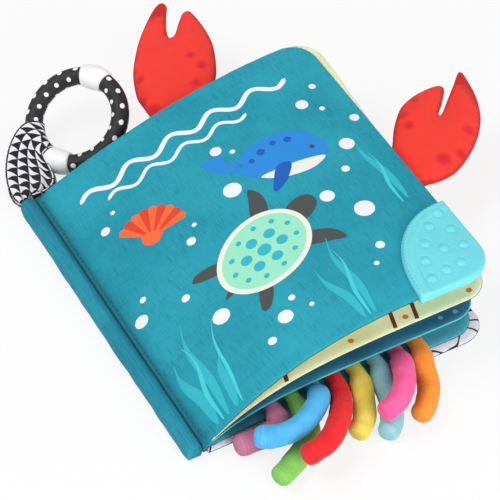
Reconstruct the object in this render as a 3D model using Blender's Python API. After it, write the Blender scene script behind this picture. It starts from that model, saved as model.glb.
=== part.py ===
"""Crinkle cloth book for a baby: five padded cloth leaves sewn into a puffed spine.

The book lies on its back cover. X runs from the spine to the fore edge, Y from the tail
edge to the head edge and Z up, with the origin at the middle of the underside.
"""

import math

import bmesh
import bpy
from mathutils import Matrix, Vector

MM = 0.001

# Sizes of the whole book
BOOK_WIDTH = 180 * MM
BOOK_HEIGHT = 196 * MM
SPINE_X = -BOOK_WIDTH / 2

# Cloth, and the gap kept between two pieces that touch
CLOTH = 0.6 * MM
GAP = 0.3 * MM

# Puffed spine strip and the sewn seam beside it
SPINE_WIDTH = 9.5 * MM
SPINE_THICKNESS = 12 * MM
SPINE_FOOT_SHARE = 0.7
SPINE_EYE_SHARE = 0.12
SPINE_PADDING_INSET = 2 * MM
BINDING_WIDTH = 2.4 * MM
BINDING_CHAMFER = 0.6 * MM

# The leaves turn about lines over the groove, where the soft seam lets them roll. The
# cover's line stands further back, so that its seam edge clears the leaf under it.
HINGE_RISE = 3.8 * MM
SECOND_HINGE_RISE = 0.8 * MM
COVER_HINGE_RISE = 2.8 * MM
COVER_HINGE_BACK = 2 * MM

# Leaves, from the back cover up
HEM = 2 * CLOTH + GAP
SEAM_PITCH = HEM + GAP
LEAF_START = SPINE_X + SPINE_WIDTH + BINDING_WIDTH + 2 * GAP
CORNER_RADIUS = 15 * MM
CROWN_REACH = 30 * MM
HINGE_CROWN_SHARE = 0.5
PADDING_INSET = 13 * MM
PADDING_HINGE_INSET = 26 * MM
FILM = 0.2 * MM
FILM_EASE = 0.1 * MM
FOAM_EASE = 0.35 * MM
COLUMN_SHARES = (0, 0.035, 0.09, 0.18, 0.33, 0.55, 0.8, 1)
ROW_SHARES = (-1, -0.88, -0.67, 0, 0.67, 0.88, 1)
CORNER_STEPS = 1

# Each leaf's fore edge is this far short of the book's width, and its ends this far in
# from the book's ends. Lift is the height of its fore edge over the seam, at the tail and
# at the head.
LEAVES = {
    "back_cover": {
        "short": 1 * MM, "inset": 0 * MM, "thickness": 4 * MM,
        "lift": (0 * MM, 0 * MM), "film": True,
    },
    "leaf_4": {
        "short": 6.5 * MM, "inset": 1.5 * MM, "thickness": 3.7 * MM,
        "lift": (4.2 * MM, 8 * MM), "film": False,
    },
    "leaf_3": {
        "short": 7 * MM, "inset": 1.5 * MM, "thickness": 3.8 * MM,
        "lift": (16.5 * MM, 22 * MM), "film": True,
    },
    "leaf_2": {
        "short": 1.5 * MM, "inset": 0.5 * MM, "thickness": 3.8 * MM,
        "lift": (28 * MM, 33.5 * MM), "film": True,
    },
    "front_cover": {
        "short": 4 * MM, "inset": 0 * MM, "thickness": 4.5 * MM,
        "lift": (44.5 * MM, 43 * MM), "film": True,
    },
}
LEAF_ORDER = ("back_cover", "leaf_4", "leaf_3", "leaf_2", "front_cover")

# How early each leaf rises from the seam, at the tail and at the head: 1 is a straight line
LEAF_SPRING_SHARES = {
    "back_cover": (1, 1), "leaf_4": (8, 4), "leaf_3": (6.5, 2.2), "leaf_2": (4.6, 1.9),
    "front_cover": (3.3, 1.9),
}

# The two padded claws sewn into the second leaf
CLAW_LENGTH = 90 * MM
CLAW_WIDTH = 64 * MM
CLAW_THICKNESS = 8.5 * MM
CLAW_HEM = HEM
CLAW_SEAM_GAP = 0.5 * MM
CLAW_AXIS_OUT = 1.7 * MM
CLAW_DROOP = math.radians(5)
CLAW_WADDING_SHARE = 0.82
CLAW_RING_SHARES = (1, 0.84, 0.5)
CLAW_PUFF_SHARES = (0, 0.55, 0.95)
HEAD_CLAW_PLACE_SHARE = 0.56
FORE_CLAW_PLACE_SHARE = 0.48
CLAW_OUTLINE_SHARES = {
    "head_claw": (
        (-0.234, 0), (-0.275, 0.078), (-0.275, 0.189), (-0.263, 0.3), (-0.173, 0.482),
        (-0.059, 0.624), (0.092, 0.77), (0.272, 0.903), (0.395, 0.976), (0.47, 0.992),
        (0.484, 0.939), (0.421, 0.856), (0.353, 0.756), (0.327, 0.678), (0.355, 0.656),
        (0.417, 0.676), (0.557, 0.772), (0.609, 0.801), (0.65, 0.797), (0.664, 0.758),
        (0.664, 0.628), (0.642, 0.48), (0.594, 0.352), (0.477, 0.167), (0.313, 0),
    ),
    "fore_claw": (
        (-0.187, 0), (-0.328, 0.073), (-0.503, 0.16), (-0.68, 0.281), (-0.767, 0.402),
        (-0.803, 0.514), (-0.809, 0.603), (-0.773, 0.633), (-0.719, 0.613), (-0.655, 0.58),
        (-0.562, 0.53), (-0.505, 0.499), (-0.463, 0.496), (-0.494, 0.54), (-0.606, 0.631),
        (-0.731, 0.727), (-0.858, 0.827), (-0.723, 0.824), (-0.573, 0.804), (-0.42, 0.767),
        (-0.263, 0.71), (-0.094, 0.616), (0.07, 0.484), (0.211, 0.32), (0.25, 0.161),
        (0.195, 0),
    ),
}
CLAW_CENTRE_SHARES = {"head_claw": (0.0625, 0.422), "fore_claw": (-0.097, 0.259)}

# Silicone teether that caps the cover's tail corner at the fore edge
TEETHER_REACH = 46 * MM
TEETHER_REACH_FORE = 54 * MM
TEETHER_PLATE = 1.8 * MM
TEETHER_WALL = 2.4 * MM
TEETHER_RIM_RISE = 0.8 * MM
TEETHER_EDGE_SHARE = 0.35
TEETHER_BUMP_RADIUS = 2.7 * MM
TEETHER_BUMP_RISE = 1.9 * MM
TEETHER_BUMP_SHARES = (
    (0.17, 0.85), (0.37, 0.74), (0.17, 0.62), (0.55, 0.56), (0.4, 0.43),
    (0.17, 0.39), (0.68, 0.37), (0.34, 0.2), (0.54, 0.19), (0.75, 0.16),
)

# Eight stuffed tentacles sewn to the fourth leaf
TENTACLE_RADIUS = 5.7 * MM
TENTACLE_ROOT_RADIUS = 3.8 * MM
TENTACLE_LENGTH = 60 * MM
TENTACLE_FIRST = 50 * MM
TENTACLE_PITCH = 12.2 * MM
TENTACLE_ROOT_DEPTH = 14 * MM
TENTACLE_SIDES = 9
TENTACLE_STEPS = 10
TENTACLE_FLOOR_GAP = 0.3 * MM
TENTACLE_SHARES = {
    "mauve": ((-0.03, -0.12, 0.3), (-0.16, -0.13, 0), (-0.31, -0.13, 0), (-0.44, -0.12, 0)),
    "green": ((0.01, -0.13, 0.3), (-0.01, -0.26, 0), (-0.15, -0.41, 0), (-0.33, -0.52, 0),
              (-0.5, -0.59, 0)),
    "blue": ((-0.05, -0.13, 1.0), (-0.17, -0.25, 1.12), (-0.33, -0.33, 1.12),
             (-0.49, -0.35, 1.12), (-0.63, -0.31, 1.1), (-0.73, -0.24, 1.08)),
    "red": ((-0.04, -0.13, 0.4), (-0.14, -0.31, 0.7), (-0.28, -0.47, 0.95),
            (-0.42, -0.57, 1.0), (-0.56, -0.61, 1.02), (-0.68, -0.61, 0.98)),
    "yellow": ((-0.03, -0.13, 0.3), (-0.08, -0.26, 0), (-0.17, -0.4, 0), (-0.3, -0.5, 0)),
    "light_blue": ((-0.04, -0.15, 0.3), (-0.06, -0.31, 0), (-0.15, -0.49, 0), (-0.28, -0.63, 0)),
    "pink": ((-0.08, -0.21, 1.0), (-0.19, -0.39, 1.12), (-0.34, -0.51, 1.14),
             (-0.5, -0.55, 1.1)),
    "orange": ((-0.04, -0.15, 0.3), (-0.08, -0.29, 0), (-0.19, -0.46, 0), (-0.35, -0.59, 0)),
}

# Teething ring of two tube arcs and two barrel connectors
RING_RADIUS = 25.8 * MM
RING_TUBE_RADIUS = 5 * MM
RING_TILT = math.radians(28)
RING_NOD = math.radians(14)
RING_FROM_CLAW = 49.3 * MM
RING_BOOK_GAP = 2.3 * MM
RING_FLOOR_GAP = 2.1 * MM
RING_SIDES = 10
ARC_STEPS = 12
CONNECTOR_ANGLES = (math.radians(52.5), math.radians(232.5))
CONNECTOR_LENGTH = 15 * MM
CONNECTOR_RADIUS = 7 * MM
CONNECTOR_END_RADIUS = 6 * MM
CONNECTOR_SOCKET = 4.5 * MM
CONNECTOR_STEPS = 6

# Wide cloth strap: a sleeve round the ring, and a band gathered at the spine
STRAP_SLEEVE_ANGLE = math.radians(281)
STRAP_SLEEVE_SPREAD = math.radians(22)
STRAP_RING_CLEARANCE = 0.5 * MM
STRAP_CLOTH = 1.1 * MM
STRAP_ROOT_WIDTH = 14 * MM
STRAP_ROOT_THICKNESS = 7 * MM
STRAP_ROOT_SHARES = (-0.98, -0.85, -0.5)
STRAP_WIDTH = 28 * MM
STRAP_THICKNESS = 6.5 * MM
STRAP_MOUTH_SHARE = 0.6
STRAP_SWAY = 9 * MM
STRAP_SIDES = 14
STRAP_STEPS = 7

COLOURS = {
    "teal_cloth": (0.03, 0.33, 0.46), "cream_cloth": (0.8, 0.86, 0.6),
    "navy_cloth": (0.02, 0.13, 0.21), "turquoise_cloth": (0.07, 0.4, 0.5),
    "white_cloth": (0.85, 0.86, 0.88), "foam": (0.9, 0.9, 0.88), "film": (0.8, 0.82, 0.86),
    "wadding": (0.93, 0.93, 0.92), "claw_red": (0.95, 0.06, 0.05),
    "silicone_blue": (0.17, 0.68, 0.78), "ring_black": (0.03, 0.03, 0.032),
    "ring_white": (0.93, 0.93, 0.93), "strap_cloth": (0.4, 0.4, 0.42),
    "plush_mauve": (0.57, 0.19, 0.33), "plush_green": (0.22, 0.58, 0.1),
    "plush_blue": (0.05, 0.42, 0.78), "plush_red": (0.8, 0.03, 0.03),
    "plush_yellow": (0.75, 0.66, 0.1), "plush_light_blue": (0.26, 0.53, 0.6),
    "plush_pink": (0.95, 0.13, 0.35), "plush_orange": (0.92, 0.31, 0.03),
}


def material(name):
    """Return the material of one cloth, plush or plastic."""
    found = bpy.data.materials.get(name)
    if found:
        return found
    made = bpy.data.materials.new(name)
    made.use_nodes = True
    shader = made.node_tree.nodes["Principled BSDF"]
    shader.inputs["Base Color"].default_value = (*COLOURS[name], 1)
    plastic = name.startswith(("silicone", "ring", "film"))
    shader.inputs["Roughness"].default_value = 0.35 if plastic else 0.9
    shader.inputs["Metallic"].default_value = 0
    made.diffuse_color = (*COLOURS[name], 1)
    return made


def add_mesh(name, verts, faces, look):
    """Add one closed mesh object, with its faces turned outward."""
    mesh = bpy.data.meshes.new(name)
    mesh.from_pydata([tuple(v) for v in verts], [], faces)
    work = bmesh.new()
    work.from_mesh(mesh)
    bmesh.ops.recalc_face_normals(work, faces=work.faces)
    work.to_mesh(mesh)
    work.free()
    mesh.shade_smooth()
    mesh.set_sharp_from_angle(angle=math.radians(40))
    mesh.materials.append(material(look))
    thing = bpy.data.objects.new(name, mesh)
    bpy.context.scene.collection.objects.link(thing)
    return thing


def cut(target, cutter, operation):
    """Apply a Boolean of the cutter on the target, then drop the cutter."""
    modifier = target.modifiers.new(operation.title(), "BOOLEAN")
    modifier.operation = operation
    modifier.solver = "EXACT"
    modifier.object = cutter
    graph = bpy.context.evaluated_depsgraph_get()
    result = bpy.data.meshes.new_from_object(target.evaluated_get(graph))
    target.modifiers.clear()
    target.data = result
    bpy.data.objects.remove(cutter)


# Leaves


def leaf_end(name):
    """X of a leaf's fore edge."""
    return SPINE_X + BOOK_WIDTH - LEAVES[name]["short"]


def leaf_half(name):
    """Half of a leaf's length along the spine."""
    return BOOK_HEIGHT / 2 - LEAVES[name]["inset"]


def edge_distance(name, x, y):
    """Distance in from a leaf's sewn edge, counted slower at the seam side."""
    end = leaf_end(name)
    half = leaf_half(name)
    from_seam = (x - LEAF_START) * HINGE_CROWN_SHARE
    to_fore = end - x
    to_side = half - abs(y)
    inner = CORNER_RADIUS
    if to_fore < inner and to_side < inner:
        corner = inner - math.hypot(inner - to_fore, inner - to_side)
        return max(0, min(from_seam, corner))
    return max(0, min(from_seam, to_fore, to_side))


def thickness_at(name, x, y):
    """Thickness of a leaf: a hem at its edges that swells over the crown's reach."""
    share = min(edge_distance(name, x, y) / CROWN_REACH, 1)
    return HEM + (LEAVES[name]["thickness"] - HEM) * (1 - (1 - share) ** 2)


def middle_at(name, x, y):
    """Height of the middle of a leaf, which springs up from the seam."""
    spec = LEAVES[name]
    if name == "back_cover":
        return thickness_at(name, x, y) / 2
    level = LEAF_ORDER.index(name) * SEAM_PITCH + HEM / 2
    along = min(max((x - LEAF_START) / (leaf_end(name) - LEAF_START), 0), 1)
    across = min(max(0.5 + y / (2 * leaf_half(name)), 0), 1)
    lift = spec["lift"][0] * (1 - across) + spec["lift"][1] * across
    tail_spring, head_spring = LEAF_SPRING_SHARES[name]
    spring = tail_spring * (1 - across) + head_spring * across
    return level + lift * (1 - (1 - along) ** spring)


def slab(name, leaf, insets, levels, look):
    """Closed sheet on a leaf's surface.

    Insets are from the seam, the fore edge and the two ends; levels give the lower and
    upper height at a point. Inner sheets share the columns of the cloth round them.
    """
    seam_in, fore_in, end_in = insets
    start = LEAF_START + seam_in
    end = leaf_end(leaf) - fore_in
    half = leaf_half(leaf) - end_in
    radius = CORNER_RADIUS - fore_in
    run = leaf_end(leaf) - CORNER_RADIUS - LEAF_START
    shared = [LEAF_START + run * share for share in COLUMN_SHARES]
    columns = [start] + [x for x in shared if x > start]
    for step in range(1, CORNER_STEPS + 2):
        turn = math.pi / 2 * step / (CORNER_STEPS + 1)
        columns.append(end - radius + radius * math.sin(turn))
    verts = []
    for upper in (0, 1):
        for x in columns:
            past = max(0, x - (end - radius))
            reach = half - radius + math.sqrt(max(0, radius ** 2 - past ** 2))
            for share in ROW_SHARES:
                y = reach * share
                verts.append((x, y, levels(x, y)[upper]))
    return add_mesh(name, verts, grid_shell(len(columns), len(ROW_SHARES)), look)


def grid_shell(columns, rows):
    """Faces of a closed sheet whose lower and upper grids follow each other."""
    top = columns * rows
    faces = []
    for i in range(columns - 1):
        for j in range(rows - 1):
            a = i * rows + j
            faces.append((a, a + 1, a + rows + 1, a + rows))
            faces.append((top + a, top + a + rows, top + a + rows + 1, top + a + 1))
    rim = [i * rows for i in range(columns)]
    rim += [(columns - 1) * rows + j for j in range(1, rows)]
    rim += [i * rows + rows - 1 for i in range(columns - 2, -1, -1)]
    rim += [j for j in range(rows - 2, 0, -1)]
    for a, b in zip(rim, rim[1:] + rim[:1]):
        faces.append((a, b, top + b, top + a))
    return faces


def leaf_layer(leaf, low, high):
    """Heights of a layer, as offsets from the leaf's two outer faces.

    An offset below zero is taken down from the upper face, any other up from the lower.
    """
    def levels(x, y):
        middle = middle_at(leaf, x, y)
        half = thickness_at(leaf, x, y) / 2
        lower = middle + half + low if low < 0 else middle - half + low
        upper = middle + half + high if high <= 0 else middle - half + high
        return lower, upper
    return levels


def make_leaf(leaf, front_look, back_look):
    """Two cloth panels sewn round a foam sheet, some with a crinkle film behind it."""
    whole = (0, 0, 0)
    slab(leaf + "_front_cloth", leaf, whole, leaf_layer(leaf, -CLOTH, 0), front_look)
    slab(leaf + "_back_cloth", leaf, whole, leaf_layer(leaf, 0, CLOTH), back_look)
    inner = (PADDING_HINGE_INSET, PADDING_INSET, PADDING_INSET)
    floor = CLOTH + GAP
    if LEAVES[leaf]["film"]:
        floor += FILM_EASE
        film = leaf_layer(leaf, floor, floor + FILM)
        slab(leaf + "_crinkle_film", leaf, inner, film, "film")
        floor += FILM + GAP
    foam = leaf_layer(leaf, floor, -CLOTH - GAP - FOAM_EASE)
    slab(leaf + "_foam", leaf, inner, foam, "foam")


# Spine


def spine_section(inset):
    """Points of the spine's rounded section, flat where it lies on its foot."""
    width = SPINE_WIDTH - 2 * inset
    height = SPINE_THICKNESS - 2 * inset
    points = []
    sides = 18
    for step in range(sides):
        turn = 2 * math.pi * (step + 0.5) / sides
        x = math.copysign(abs(math.cos(turn)) ** 0.8, math.cos(turn)) * width / 2
        z = math.copysign(abs(math.sin(turn)) ** 0.8, math.sin(turn)) * height / 2
        foot = -height / 2 * math.cos(math.asin(SPINE_FOOT_SHARE))
        points.append((SPINE_X + SPINE_WIDTH / 2 + x, max(z, foot)))
    low = min(z for _, z in points)
    return [(x, z - low + inset) for x, z in points]


def make_spine():
    """Cloth tube with gathered ends, its filling, and the bound seam of the leaves."""
    outer = spine_section(0)
    inner = spine_section(CLOTH)
    count = len(outer)
    half = BOOK_HEIGHT / 2
    middle_x = SPINE_X + SPINE_WIDTH / 2
    middle_z = strap_root().z
    eye = [(middle_x + (x - middle_x) * SPINE_EYE_SHARE,
            middle_z + (z - middle_z) * SPINE_EYE_SHARE) for x, z in outer]
    within = half - CLOTH
    loops = ((outer, -half), (outer, half), (eye, half), (eye, within),
             (inner, within), (inner, -within), (eye, -within), (eye, -half))
    verts = [(x, y, z) for section, y in loops for x, z in section]
    faces = []
    for loop in range(len(loops)):
        here = loop * count
        ahead = (loop + 1) % len(loops) * count
        for i in range(count):
            j = (i + 1) % count
            faces.append((here + i, here + j, ahead + j, ahead + i))
    add_mesh("spine_cloth", verts, faces, "teal_cloth")

    core = spine_section(CLOTH + GAP)
    reach = half - SPINE_PADDING_INSET
    verts = [(x, -reach, z) for x, z in core] + [(x, reach, z) for x, z in core]
    faces = [(i, (i + 1) % count, count + (i + 1) % count, count + i) for i in range(count)]
    faces.append(tuple(range(count)))
    faces.append(tuple(range(count, 2 * count)))
    add_mesh("spine_padding", verts, faces, "wadding")

    left = SPINE_X + SPINE_WIDTH + GAP
    right = left + BINDING_WIDTH
    top = (len(LEAF_ORDER) - 1) * SEAM_PITCH + HEM
    profile = (
        (left, 0), (right, 0), (right, top - BINDING_CHAMFER),
        (right - BINDING_CHAMFER, top), (left + BINDING_CHAMFER, top),
        (left, top - BINDING_CHAMFER),
    )
    count = len(profile)
    verts = [(x, -half, z) for x, z in profile] + [(x, half, z) for x, z in profile]
    faces = [(i, (i + 1) % count, count + (i + 1) % count, count + i) for i in range(count)]
    faces.append(tuple(range(count)))
    faces.append(tuple(range(count, 2 * count)))
    add_mesh("seam_binding", verts, faces, "teal_cloth")


# Claws


def claw_outline(name):
    """Outline and middle of a claw in its own plane, its root on the line y = 0."""
    shares = CLAW_OUTLINE_SHARES[name] + (CLAW_CENTRE_SHARES[name],)
    points = [(along * CLAW_WIDTH, out * CLAW_LENGTH) for along, out in shares]
    return points[:-1], points[-1]


def claw_frame(place, along, outward):
    """Matrix of a claw: X along the seam, Y outward and drooping, Z its face."""
    along = along.normalized()
    up = along.cross(outward).normalized()
    out = up.cross(along)
    droop = Matrix.Rotation(-CLAW_DROOP, 3, along)
    axes = Matrix((along, droop @ out, droop @ up)).transposed()
    return Matrix.Translation(place) @ axes.to_4x4()


def pillow(name, outline, centre, rings, look, frame):
    """Closed shape from rings of an outline; each ring is (size share, low, high)."""
    verts = []
    count = len(outline)
    for upper in (0, 1):
        for ring in rings:
            for x, y in outline:
                px = centre[0] + (x - centre[0]) * ring[0]
                py = centre[1] + (y - centre[1]) * ring[0]
                verts.append(frame @ Vector((px, py, ring[1 + upper])))
        verts.append(frame @ Vector((centre[0], centre[1], rings[-1][1 + upper])))
    block = len(rings) * count + 1
    faces = []
    for upper in (0, 1):
        start = upper * block
        for ring in range(len(rings) - 1):
            for i in range(count):
                j = (i + 1) % count
                a = start + ring * count
                faces.append((a + i, a + j, a + count + j, a + count + i))
        last = start + (len(rings) - 1) * count
        for i in range(count):
            faces.append((last + i, last + (i + 1) % count, start + block - 1))
    for i in range(count):
        j = (i + 1) % count
        faces.append((i, j, block + j, block + i))
    return add_mesh(name, verts, faces, look)


def make_claw(name, frame):
    """Front and back cloth of a claw round its wadding."""
    outline, centre = claw_outline(name)
    puff = [CLAW_HEM + (CLAW_THICKNESS - CLAW_HEM) * share for share in CLAW_PUFF_SHARES]
    pairs = list(zip(CLAW_RING_SHARES, puff))
    front = [(share, high / 2 - CLOTH, high / 2) for share, high in pairs]
    back = [(share, -high / 2, CLOTH - high / 2) for share, high in pairs]
    pillow(name + "_front_cloth", outline, centre, front, "claw_red", frame)
    pillow(name + "_back_cloth", outline, centre, back, "claw_red", frame)
    inner = CLOTH + GAP
    filled = [(share, inner - high / 2, high / 2 - inner) for share, high in pairs[1:]]
    outer = (filled[0][0] * CLAW_WADDING_SHARE / CLAW_RING_SHARES[1],) + filled[0][1:]
    pillow(name + "_wadding", outline, centre, [outer, filled[1]], "wadding", frame)


def claw_seams():
    """Frame of each claw at the second leaf's sewn edge."""
    leaf = "leaf_2"
    half = leaf_half(leaf)
    end = leaf_end(leaf)
    run = CLAW_WIDTH / 4
    head_x = SPINE_X + BOOK_WIDTH * HEAD_CLAW_PLACE_SHARE
    head = Vector((head_x, half, middle_at(leaf, head_x, half)))
    further = Vector((head_x + run, half, middle_at(leaf, head_x + run, half)))
    place = head + Vector((0, CLAW_SEAM_GAP, 0))
    head_frame = claw_frame(place, further - head, Vector((0, 1, 0)))

    fore_y = BOOK_HEIGHT * (FORE_CLAW_PLACE_SHARE - 0.5)
    fore = Vector((end, fore_y, middle_at(leaf, end, fore_y)))
    further = Vector((end, fore_y - run, middle_at(leaf, end, fore_y - run)))
    place = fore + Vector((CLAW_SEAM_GAP, 0, 0))
    fore_frame = claw_frame(place, further - fore, Vector((1, 0, 0)))
    return {"head_claw": head_frame, "fore_claw": fore_frame}


def make_claws():
    """One claw at the head edge and one at the fore edge of the second leaf."""
    for name, frame in claw_seams().items():
        make_claw(name, frame)


# Teether


def teether_outline():
    """Cap outline: round the cover's corner outside, and a round inner edge."""
    wall = TEETHER_WALL + GAP
    right = leaf_end("front_cover") + wall
    bottom = -leaf_half("front_cover") - wall
    radius = CORNER_RADIUS + wall
    points = []
    for step in range(6):
        turn = math.pi / 2 * step / 5
        x = right - radius + radius * math.cos(turn)
        y = bottom + radius - radius * math.sin(turn)
        points.append((x, y))
    for step in range(10):
        turn = math.pi / 2 * step / 9
        x = right - TEETHER_REACH * math.cos(turn) ** 0.9
        y = bottom + TEETHER_REACH_FORE * math.sin(turn) ** 0.9
        points.append((x, y))
    return points


def teether_surface(x, y):
    """Middle and half thickness of the cover under the cap."""
    leaf = "front_cover"
    inside_x = min(x, leaf_end(leaf))
    inside_y = max(y, -leaf_half(leaf))
    middle = middle_at(leaf, inside_x, inside_y)
    return middle, thickness_at(leaf, inside_x, inside_y) / 2


def make_teether():
    """Silicone cap with a slot for the cover's corner, a rim and domed bumps."""
    outline = teether_outline()
    centre_x = sum(x for x, _ in outline) / len(outline)
    centre_y = sum(y for _, y in outline) / len(outline)
    plate = GAP + TEETHER_PLATE
    rim = plate + TEETHER_RIM_RISE
    rings = ((1, rim * TEETHER_EDGE_SHARE), (0.96, rim), (0.82, rim), (0.78, plate), (0.4, plate))
    verts = []
    count = len(outline)
    for side in (-1, 1):
        for share, over in rings:
            for x, y in outline:
                px = centre_x + (x - centre_x) * share
                py = centre_y + (y - centre_y) * share
                middle, half = teether_surface(px, py)
                verts.append((px, py, middle + side * (half + over)))
        middle, half = teether_surface(centre_x, centre_y)
        verts.append((centre_x, centre_y, middle + side * (half + plate)))
    block = len(rings) * count + 1
    faces = []
    for start in (0, block):
        for ring in range(len(rings) - 1):
            for i in range(count):
                j = (i + 1) % count
                a = start + ring * count
                faces.append((a + i, a + j, a + count + j, a + count + i))
        last = start + (len(rings) - 1) * count
        for i in range(count):
            faces.append((last + i, last + (i + 1) % count, start + block - 1))
    for i in range(count):
        j = (i + 1) % count
        faces.append((i, j, block + j, block + i))
    cap = add_mesh("corner_teether", verts, faces, "silicone_blue")

    for across, up in TEETHER_BUMP_SHARES:
        x = outline[0][0] - across * TEETHER_REACH
        y = outline[5][1] + up * TEETHER_REACH_FORE
        middle, half = teether_surface(x, y)
        cut(cap, dome(x, y, middle + half + plate), "UNION")

    leaf = "front_cover"
    grown = (-GAP, -GAP, -GAP)
    body = leaf_layer(leaf, 0, 0)

    def levels(x, y):
        inside_x = min(x, leaf_end(leaf))
        inside_y = math.copysign(min(abs(y), leaf_half(leaf)), y)
        low, high = body(inside_x, inside_y)
        return low - GAP, high + GAP

    slot = slab("slot", leaf, grown, levels, "silicone_blue")
    cut(cap, slot, "DIFFERENCE")


def dome(x, y, base):
    """Low dome that is sunk a little into the plate it stands on."""
    sides = 8
    verts = []
    for share, height in ((1, -0.3), (0.92, 0.35), (0.6, 0.8)):
        for step in range(sides):
            turn = 2 * math.pi * step / sides
            px = x + TEETHER_BUMP_RADIUS * share * math.cos(turn)
            py = y + TEETHER_BUMP_RADIUS * share * math.sin(turn)
            verts.append((px, py, base + TEETHER_BUMP_RISE * height))
    verts.append((x, y, base + TEETHER_BUMP_RISE))
    faces = [tuple(range(sides))]
    for ring in range(2):
        for i in range(sides):
            j = (i + 1) % sides
            a = ring * sides
            faces.append((a + i, a + j, a + sides + j, a + sides + i))
    for i in range(sides):
        faces.append((2 * sides + i, 2 * sides + (i + 1) % sides, 3 * sides))
    return add_mesh("bump", verts, faces, "silicone_blue")


# Tubes


def tube(name, frames, radii, sides, look):
    """Closed tube through frames of (place, side, up), one radius each."""
    verts = []
    for (place, side, up), radius in zip(frames, radii):
        for step in range(sides):
            turn = 2 * math.pi * step / sides
            verts.append(place + (side * math.cos(turn) + up * math.sin(turn)) * radius)
    faces = []
    for ring in range(len(frames) - 1):
        for i in range(sides):
            j = (i + 1) % sides
            a = ring * sides
            faces.append((a + i, a + j, a + sides + j, a + sides + i))
    faces.append(tuple(range(sides)))
    last = (len(frames) - 1) * sides
    faces.append(tuple(range(last, last + sides)))
    return add_mesh(name, verts, faces, look)


def smooth_path(points, steps):
    """Points at even steps along a Catmull-Rom curve through the given ones."""
    padded = [2 * points[0] - points[1]] + points + [2 * points[-1] - points[-2]]
    fine = []
    for i in range(1, len(padded) - 2):
        a, b, c, d = padded[i - 1:i + 3]
        for step in range(12):
            t = step / 12
            fine.append(0.5 * (2 * b + (c - a) * t + (2 * a - 5 * b + 4 * c - d) * t * t
                               + (3 * b - a - 3 * c + d) * t ** 3))
    fine.append(points[-1])
    lengths = [0]
    for a, b in zip(fine, fine[1:]):
        lengths.append(lengths[-1] + (b - a).length)
    spaced = []
    at = 0
    for step in range(steps + 1):
        goal = lengths[-1] * step / steps
        while at < len(fine) - 2 and lengths[at + 1] < goal:
            at += 1
        share = (goal - lengths[at]) / (lengths[at + 1] - lengths[at])
        spaced.append(fine[at].lerp(fine[at + 1], min(share, 1)))
    return spaced


def path_frames(points):
    """Frames along a path, each with its side level with the table."""
    frames = []
    for i, place in enumerate(points):
        ahead = points[min(i + 1, len(points) - 1)] - points[max(i - 1, 0)]
        side = ahead.cross(Vector((0, 0, 1))).normalized()
        up = side.cross(ahead).normalized()
        frames.append((place, side, up))
    return frames


def tentacle_path(order, places):
    """Centre line of a tentacle, from under the third leaf to its free tip."""
    leaf = "leaf_4"
    x = SPINE_X + TENTACLE_FIRST + order * TENTACLE_PITCH
    edge = -BOOK_HEIGHT / 2
    inside = edge + TENTACLE_ROOT_DEPTH
    lift = TENTACLE_ROOT_RADIUS + GAP
    points = []
    for y in (inside, (inside + edge) / 2, edge):
        within = max(y, -leaf_half(leaf))
        top = middle_at(leaf, x, within) + thickness_at(leaf, x, within) / 2
        crest = middle_at(leaf, x, inside) + thickness_at(leaf, x, inside) / 2
        points.append(Vector((x, y, max(top, crest) + lift)))
    floor = TENTACLE_RADIUS + TENTACLE_FLOOR_GAP
    for across, out, level in places:
        z = floor + level * (2 * TENTACLE_RADIUS + GAP)
        points.append(Vector((x + across * TENTACLE_LENGTH, edge + out * TENTACLE_LENGTH, z)))
    return points


def make_tentacles():
    """Eight stuffed limbs that swell from the root and round off at the tip."""
    for order, (colour, places) in enumerate(TENTACLE_SHARES.items()):
        points = smooth_path(tentacle_path(order, places), TENTACLE_STEPS + 2)
        span = sum((b - a).length for a, b in zip(points, points[1:]))
        grow = TENTACLE_ROOT_DEPTH / span
        radii = []
        for step in range(len(points)):
            share = step / (len(points) - 1)
            swell = min(1, max(0, (share - grow * 0.8) / 0.16))
            swell = swell * swell * (3 - 2 * swell)
            tip = max(0, (share - 0.9) / 0.1)
            round_off = math.sqrt(max(0.12, 1 - tip ** 2))
            radius = TENTACLE_ROOT_RADIUS + (TENTACLE_RADIUS - TENTACLE_ROOT_RADIUS) * swell
            radii.append(radius * round_off)
        name = "tentacle_" + colour
        tube(name, path_frames(points), radii, TENTACLE_SIDES, "plush_" + colour)


# Teething ring


def ring_centre():
    """Centre of the ring, which leans with one side on the table, clear of the head claw."""
    claw_x = SPINE_X + BOOK_WIDTH * HEAD_CLAW_PLACE_SHARE
    level_share = math.cos(RING_TILT) * math.cos(RING_NOD)
    low = RING_RADIUS * math.sqrt(1 - level_share ** 2)
    height = low + RING_TUBE_RADIUS + RING_FLOOR_GAP
    out = BOOK_HEIGHT / 2 + RING_RADIUS + RING_TUBE_RADIUS + RING_BOOK_GAP
    return Vector((claw_x - RING_FROM_CLAW, out, height))


def ring_axes():
    """The ring's in-plane axes and its normal."""
    nod = Matrix.Rotation(RING_NOD, 3, "X")
    first = nod @ Vector((0, 1, 0))
    second = nod @ Vector((math.cos(RING_TILT), 0, math.sin(RING_TILT)))
    return first, second, second.cross(first)


def ring_frame(angle):
    """Place on the ring's centre line, with the outward and normal directions."""
    first, second, normal = ring_axes()
    outward = first * math.cos(angle) + second * math.sin(angle)
    return ring_centre() + outward * RING_RADIUS, outward, normal


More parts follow.
